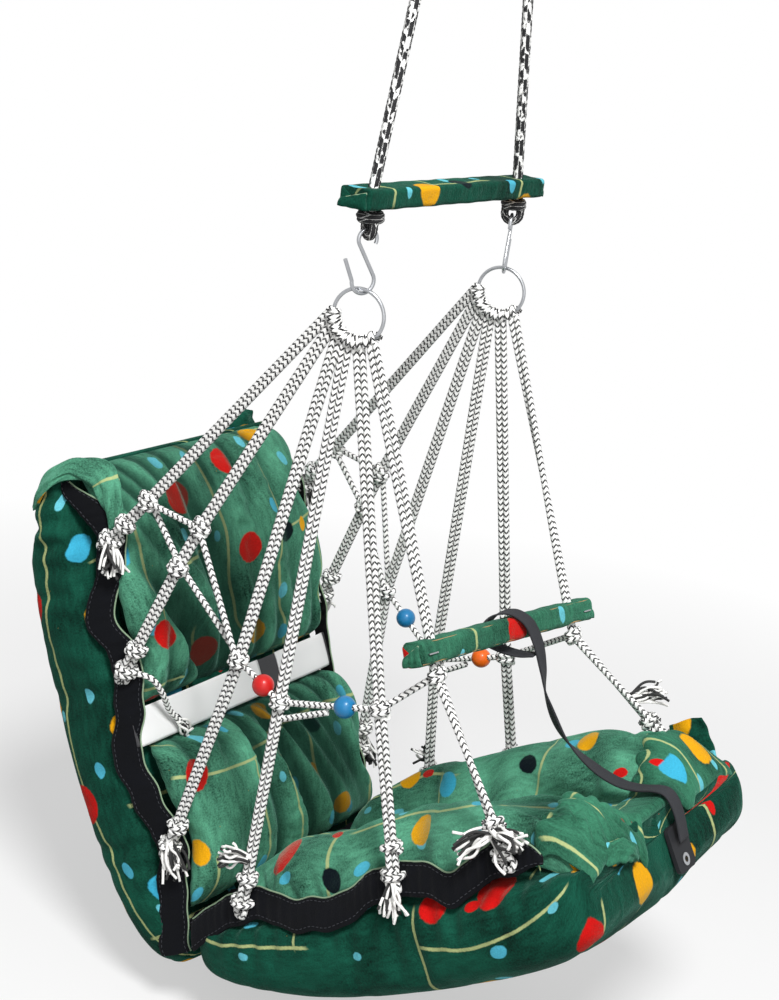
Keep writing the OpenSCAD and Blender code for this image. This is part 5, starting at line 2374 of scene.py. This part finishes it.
    def belt_strip(
            self, name: str, node: str, x: Array, base: float, thick: float, width: float,
            finish: Finish) -> None:
        """A strip across the waist.

        Args:
            name: Name of the piece.
            node: Node that it replaces.
            x: Sideways places along the strip.
            base: Height of its top above the belt's line.
            thick: Thickness of the strip.
            width: Width of the strip.
            finish: Finish of the strip.
        """
        past = np.maximum(0, np.abs(x) - self.belt_flat) / (self.belt_half - self.belt_flat)
        n = self.belt_height - 0.005 * past ** 2 + base + 0.0006 * np.sin(x * 61)
        across = np.linspace(-1, 1, 14)
        curl = -0.0009 * np.abs(across) ** 4
        grid = LAYOUT.at(Panel.BACK, x[:, None], self.belt_at + across * width / 2, n[:, None] + curl)
        strip = thin_sheet(name, grid, thick)
        dress_piece(strip, "seat", [node] if node else [], finish, finish)

    def belt(self) -> None:
        """The waist belt and its two pale panels."""
        self.belt_strip(
            "belt_band", "waist_belt", np.linspace(-self.belt_half, self.belt_half, 90), 0.0025, 0.0025,
            self.belt_w, BELT_WEB)
        for number, (low, high) in enumerate(self.panel_ends):
            node = "belt_panels" if number == 0 else ""
            self.belt_strip(
                f"belt_panel_{number}", node, np.linspace(low, high, 50), 0.004, 0.0014,
                self.belt_w + 0.002, PANEL_CLOTH)

    def seam_roll(self) -> None:
        """The rolled black seam where the seat folds up into the back."""
        low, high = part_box("fold_seam")
        middle = (low + high) / 2
        radius = (high.z - low.z) / 2
        x = np.linspace(low.x, high.x, 110)
        turn = full_turn(40)
        wave = 0.0009 * np.sin(x[:, None] * 330 + 3 * turn) + 0.0006 * np.sin(x[:, None] * 121 - 2 * turn)
        r = (radius - 0.002) * (1 - 0.25 * np.abs(x[:, None] / high.x) ** 6) + wave
        rings = np.stack(np.broadcast_arrays(
            x[:, None], middle.y + r * np.cos(turn), middle.z + r * np.sin(turn)), axis=-1)
        roll = loft_object("fold_seam_cloth", capped(rings, 0.004))
        dress_piece(roll, "seat", ["fold_seam"], DARK)

    def flap(
            self, name: str, panel: Panel, corners: Sequence[Sequence[float]], swell: float,
            node: str) -> None:
        """A cloth corner, printed outside and black inside.

        Args:
            name: Name of the piece.
            panel: The half that it belongs to.
            corners: Its four corners as sideways place, distance along and height.
            swell: How far its middle bulges out of its plane.
            node: Node that it replaces, or nothing.
        """
        a, b, c, d = (LAYOUT.at(panel, *corner) for corner in corners)
        u = np.linspace(0, 1, 22)[:, None, None]
        v = np.linspace(0, 1, 22)[None, :, None]
        grid = (1 - u) * (1 - v) * a + (1 - u) * v * b + u * v * c + u * (1 - v) * d
        normal = unit(np.cross(b - a, d - a))
        wave = swell * np.sin(math.pi * u) * np.sin(math.pi * v)
        wave = wave + 0.0016 * np.sin(9 * v + 4 * u) * u + 0.0012 * np.sin(13 * u - 5 * v)
        made = thin_sheet(name, grid + wave * normal, self.flap_t, (0.62 + corners[0][0], 0.9))
        subdivide(made)
        # The outside takes the darker copy of the print as painted shade.
        dress_piece(made, "seat", [node] if node else [], SHADED_PRINT, DARK)

    def cloth_roll(
            self, name: str, panel: Panel, places: Sequence[Sequence[float]], facing: Sequence[float],
            finish: Finish = PRINT) -> None:
        """A corner of cloth pulled into a soft roll.

        Args:
            name: Name of the piece.
            panel: The half that it belongs to.
            places: Stations as sideways place, distance along, height, width and thickness.
            facing: Direction in which the roll's broad side looks.
            finish: Finish of the roll.
        """
        rows = 60
        table = np.array(places, float)
        route = smooth_path([LAYOUT.at(panel, *row[:3]) for row in table], rows)
        share, given = np.linspace(0, 1, rows), np.linspace(0, 1, len(table))
        width, thick = (np.interp(share, given, table[:, k])[:, None] for k in (3, 4))
        ahead = np.gradient(route, axis=0)
        side = unit(np.cross(ahead, facing))
        up = unit(np.cross(side, ahead))
        turn, down = full_turn(48), share[:, None]
        wave = 1 + 0.16 * np.sin(5 * turn + 9 * down) + 0.1 * np.sin(3 * turn - 23 * down)
        across = power(np.cos(turn), 0.85) * width / 2 * wave
        height = power(np.sin(turn), 0.85) * thick / 2 * wave
        rings = route[:, None] + across[..., None] * side[:, None] + height[..., None] * up[:, None]
        roll = loft_object(name, capped(rings, 0.003), (8.1, 0.6))
        dress_piece(roll, "seat", [], finish)

    def corners(self) -> None:
        """Pulled-up corners at the front of the seat and the top of the back."""
        self.flap(
            "front_corner_left", Panel.SEAT,
            ((0.152, 0.394, 0.0), (0.15, 0.444, 0.0), (0.154, 0.44, 0.042), (0.157, 0.398, 0.04)),
            0.004, "corner_tabs")
        self.flap(
            "top_corner_left", Panel.BACK,
            ((0.096, 0.47, -0.014), (0.158, 0.466, -0.018), (0.156, 0.5, -0.012), (0.114, 0.504, -0.012)),
            0.006, "")
        self.cloth_roll("top_corner_right", Panel.BACK, (
            (-0.172, 0.454, -0.040, 0.010, 0.005), (-0.175, 0.467, -0.024, 0.018, 0.007),
            (-0.172, 0.478, -0.006, 0.024, 0.009), (-0.160, 0.482, 0.016, 0.027, 0.010),
            (-0.148, 0.466, 0.038, 0.028, 0.010), (-0.150, 0.438, 0.044, 0.022, 0.009),
            (-0.153, 0.416, 0.042, 0.014, 0.008)), (-0.6, 0.2, 0.75))
        # This roll takes the middle copy of the print: half painted shade.
        self.cloth_roll("front_corner_right", Panel.SEAT, (
            (-0.132, 0.440, -0.010, 0.010, 0.006), (-0.116, 0.452, -0.008, 0.016, 0.009),
            (-0.100, 0.459, -0.008, 0.020, 0.011), (-0.084, 0.460, -0.014, 0.016, 0.010),
            (-0.070, 0.455, -0.024, 0.007, 0.006)), (-0.3, -0.8, 0.5), HALF_LIT_PRINT)

    def front_cover(self, pieces: list[tuple[PaddedPiece, Obj]]) -> None:
        """Stretches the cloth of the front edge over the seat cushion and the shell below it.

        Args:
            pieces: The seat shell and the seat cushion, each with its object.
        """
        clouds = []
        for piece, obj in pieces:
            x, share, n = piece.local(places_of(obj))
            clouds.append(np.stack([x, piece.along(share), n], axis=1))
        cloud = np.concatenate(clouds)
        cloud = cloud[(cloud[:, 1] > self.cover_from) & (cloud[:, 2] > self.cover_low)]
        places = np.linspace(*self.cover_span, 90)
        lines = []
        for x in places:
            near = cloud[np.abs(cloud[:, 0] - x) < 0.004]
            lines.append(resampled(taut_line(near[:, 1:]), 36))
        lines = np.array(lines)
        for _ in range(3):
            lines[1:-1] = (lines[:-2] + 2 * lines[1:-1] + lines[2:]) / 4
        down = np.linspace(0, 1, 36)
        across = np.linspace(-1, 1, 90)[:, None]
        tuck = 1 - np.maximum(np.abs(2 * down - 1) ** 10, np.abs(across) ** 14)
        ahead = np.gradient(lines, axis=1)
        out = unit(np.stack([-ahead[..., 1], ahead[..., 0]], axis=-1))
        drop = float(np.mean([lengths_along(line)[-1] for line in lines]))
        aside, below = places[:, None] - self.ear_at[0], (down - self.ear_at[1]) * drop
        away = np.hypot(aside, below)
        ripple = self.ear_fold * np.cos(11 * np.arctan2(below, aside)) * bell(away - 0.022, 0.026)
        lines = lines + out * ((self.cover_off + ripple) * tuck - self.cover_tuck)[..., None]
        grid = LAYOUT.at(Panel.SEAT, places[:, None], lines[..., 0], lines[..., 1])
        cover = thin_sheet("front_edge_cloth", grid, 0.0016, (5.2, 4.4))
        subdivide(cover)
        # The cover takes the middle copy of the print: half painted shade.
        dress_piece(cover, "seat", [], HALF_LIT_PRINT, HALF_LIT_PRINT)

    def build(self) -> None:
        """Makes the padded pieces, then what is sewn on them."""
        made = [(piece, piece.build()) for piece in self.padded()]
        stuff(made)
        for piece, obj in made:
            subdivide(obj)
            # Shells take the darker copy of the print as painted shade, cushions the lit one.
            dress_piece(obj, "seat", [piece.node], SHADED_PRINT if isinstance(piece, Shell) else PRINT)
        self.front_cover([made[1], made[4]])
        for side in Side:
            for panel in Panel:
                self.binding(side, panel)
        self.belt()
        self.seam_roll()
        self.corners()


@dataclass
class SafetyStrap:
    """The black strap from the seat's front edge to its loop round the grab bar."""

    x: float = 0.02
    width: float = 0.018
    thick: float = 0.0018
    on_seat: tuple = (
        (0.4525, -0.04), (0.456, -0.014), (0.4535, 0.003), (0.444, 0.0095), (0.425, 0.0135),
        (0.405, 0.0225), (0.383, 0.043), (0.362, 0.076))
    to_bar: tuple = (
        (0, -0.172, -0.352), (0, -0.163, -0.325), (0, -0.1555, -0.305), (0, -0.147, -0.291),
        (-0.004, -0.1395, -0.2805), (-0.012, -0.128, -0.2743), (-0.02, -0.116, -0.279),
        (-0.026, -0.111, -0.29), (-0.024, -0.114, -0.303), (-0.016, -0.126, -0.3095),
        (-0.008, -0.142, -0.3115), (-0.002, -0.156, -0.3085))
    twist: float = math.radians(50)

    def build(self) -> None:
        """Makes the strap and its tab."""
        points = [LAYOUT.at(Panel.SEAT, self.x, s, n) for s, n in self.on_seat]
        points += [np.array([self.x + aside, y, z + LAYOUT.ring_z]) for aside, y, z in self.to_bar]
        route = smooth_path(points, 200)
        ahead = unit(np.gradient(route, axis=0))
        share = lengths_along(route) / lengths_along(route)[-1]
        turn = self.twist * bell(share - 0.47, 0.11)
        side = np.array([1.0, 0, 0])
        normal = np.cross(ahead, side)
        wide = np.cos(turn)[:, None] * side + np.sin(turn)[:, None] * normal
        across = np.linspace(-1, 1, 9)
        cup = 0.0006 * across ** 2
        face = np.cross(wide, ahead)
        grid = route[:, None] + across[None, :, None] * self.width / 2 * wide[:, None]
        grid = grid + cup[None, :, None] * face[:, None]
        strap = thin_sheet("strap_band", grid, self.thick)
        strap.data.materials.append(STRAP_WEB.material())
        strap.data.materials.append(STRAP_WEB.material())
        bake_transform(strap)
        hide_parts("safety_strap")
        finish_node("strap_tab", STRAP_WEB)
        log.info("strap_band between seat and grab_bar")


def main() -> None:
    """Builds the object's pieces in order."""
    logging.basicConfig(level=logging.INFO, format="%(message)s")
    StudioStage().build()
    HangingRopes().build()
    spreader().build()
    SteelWork().build()
    CordNet().build()
    grab_bar().build()
    PaddedSeat().build()
    SafetyStrap().build()


if __name__ == "__main__":
    main()
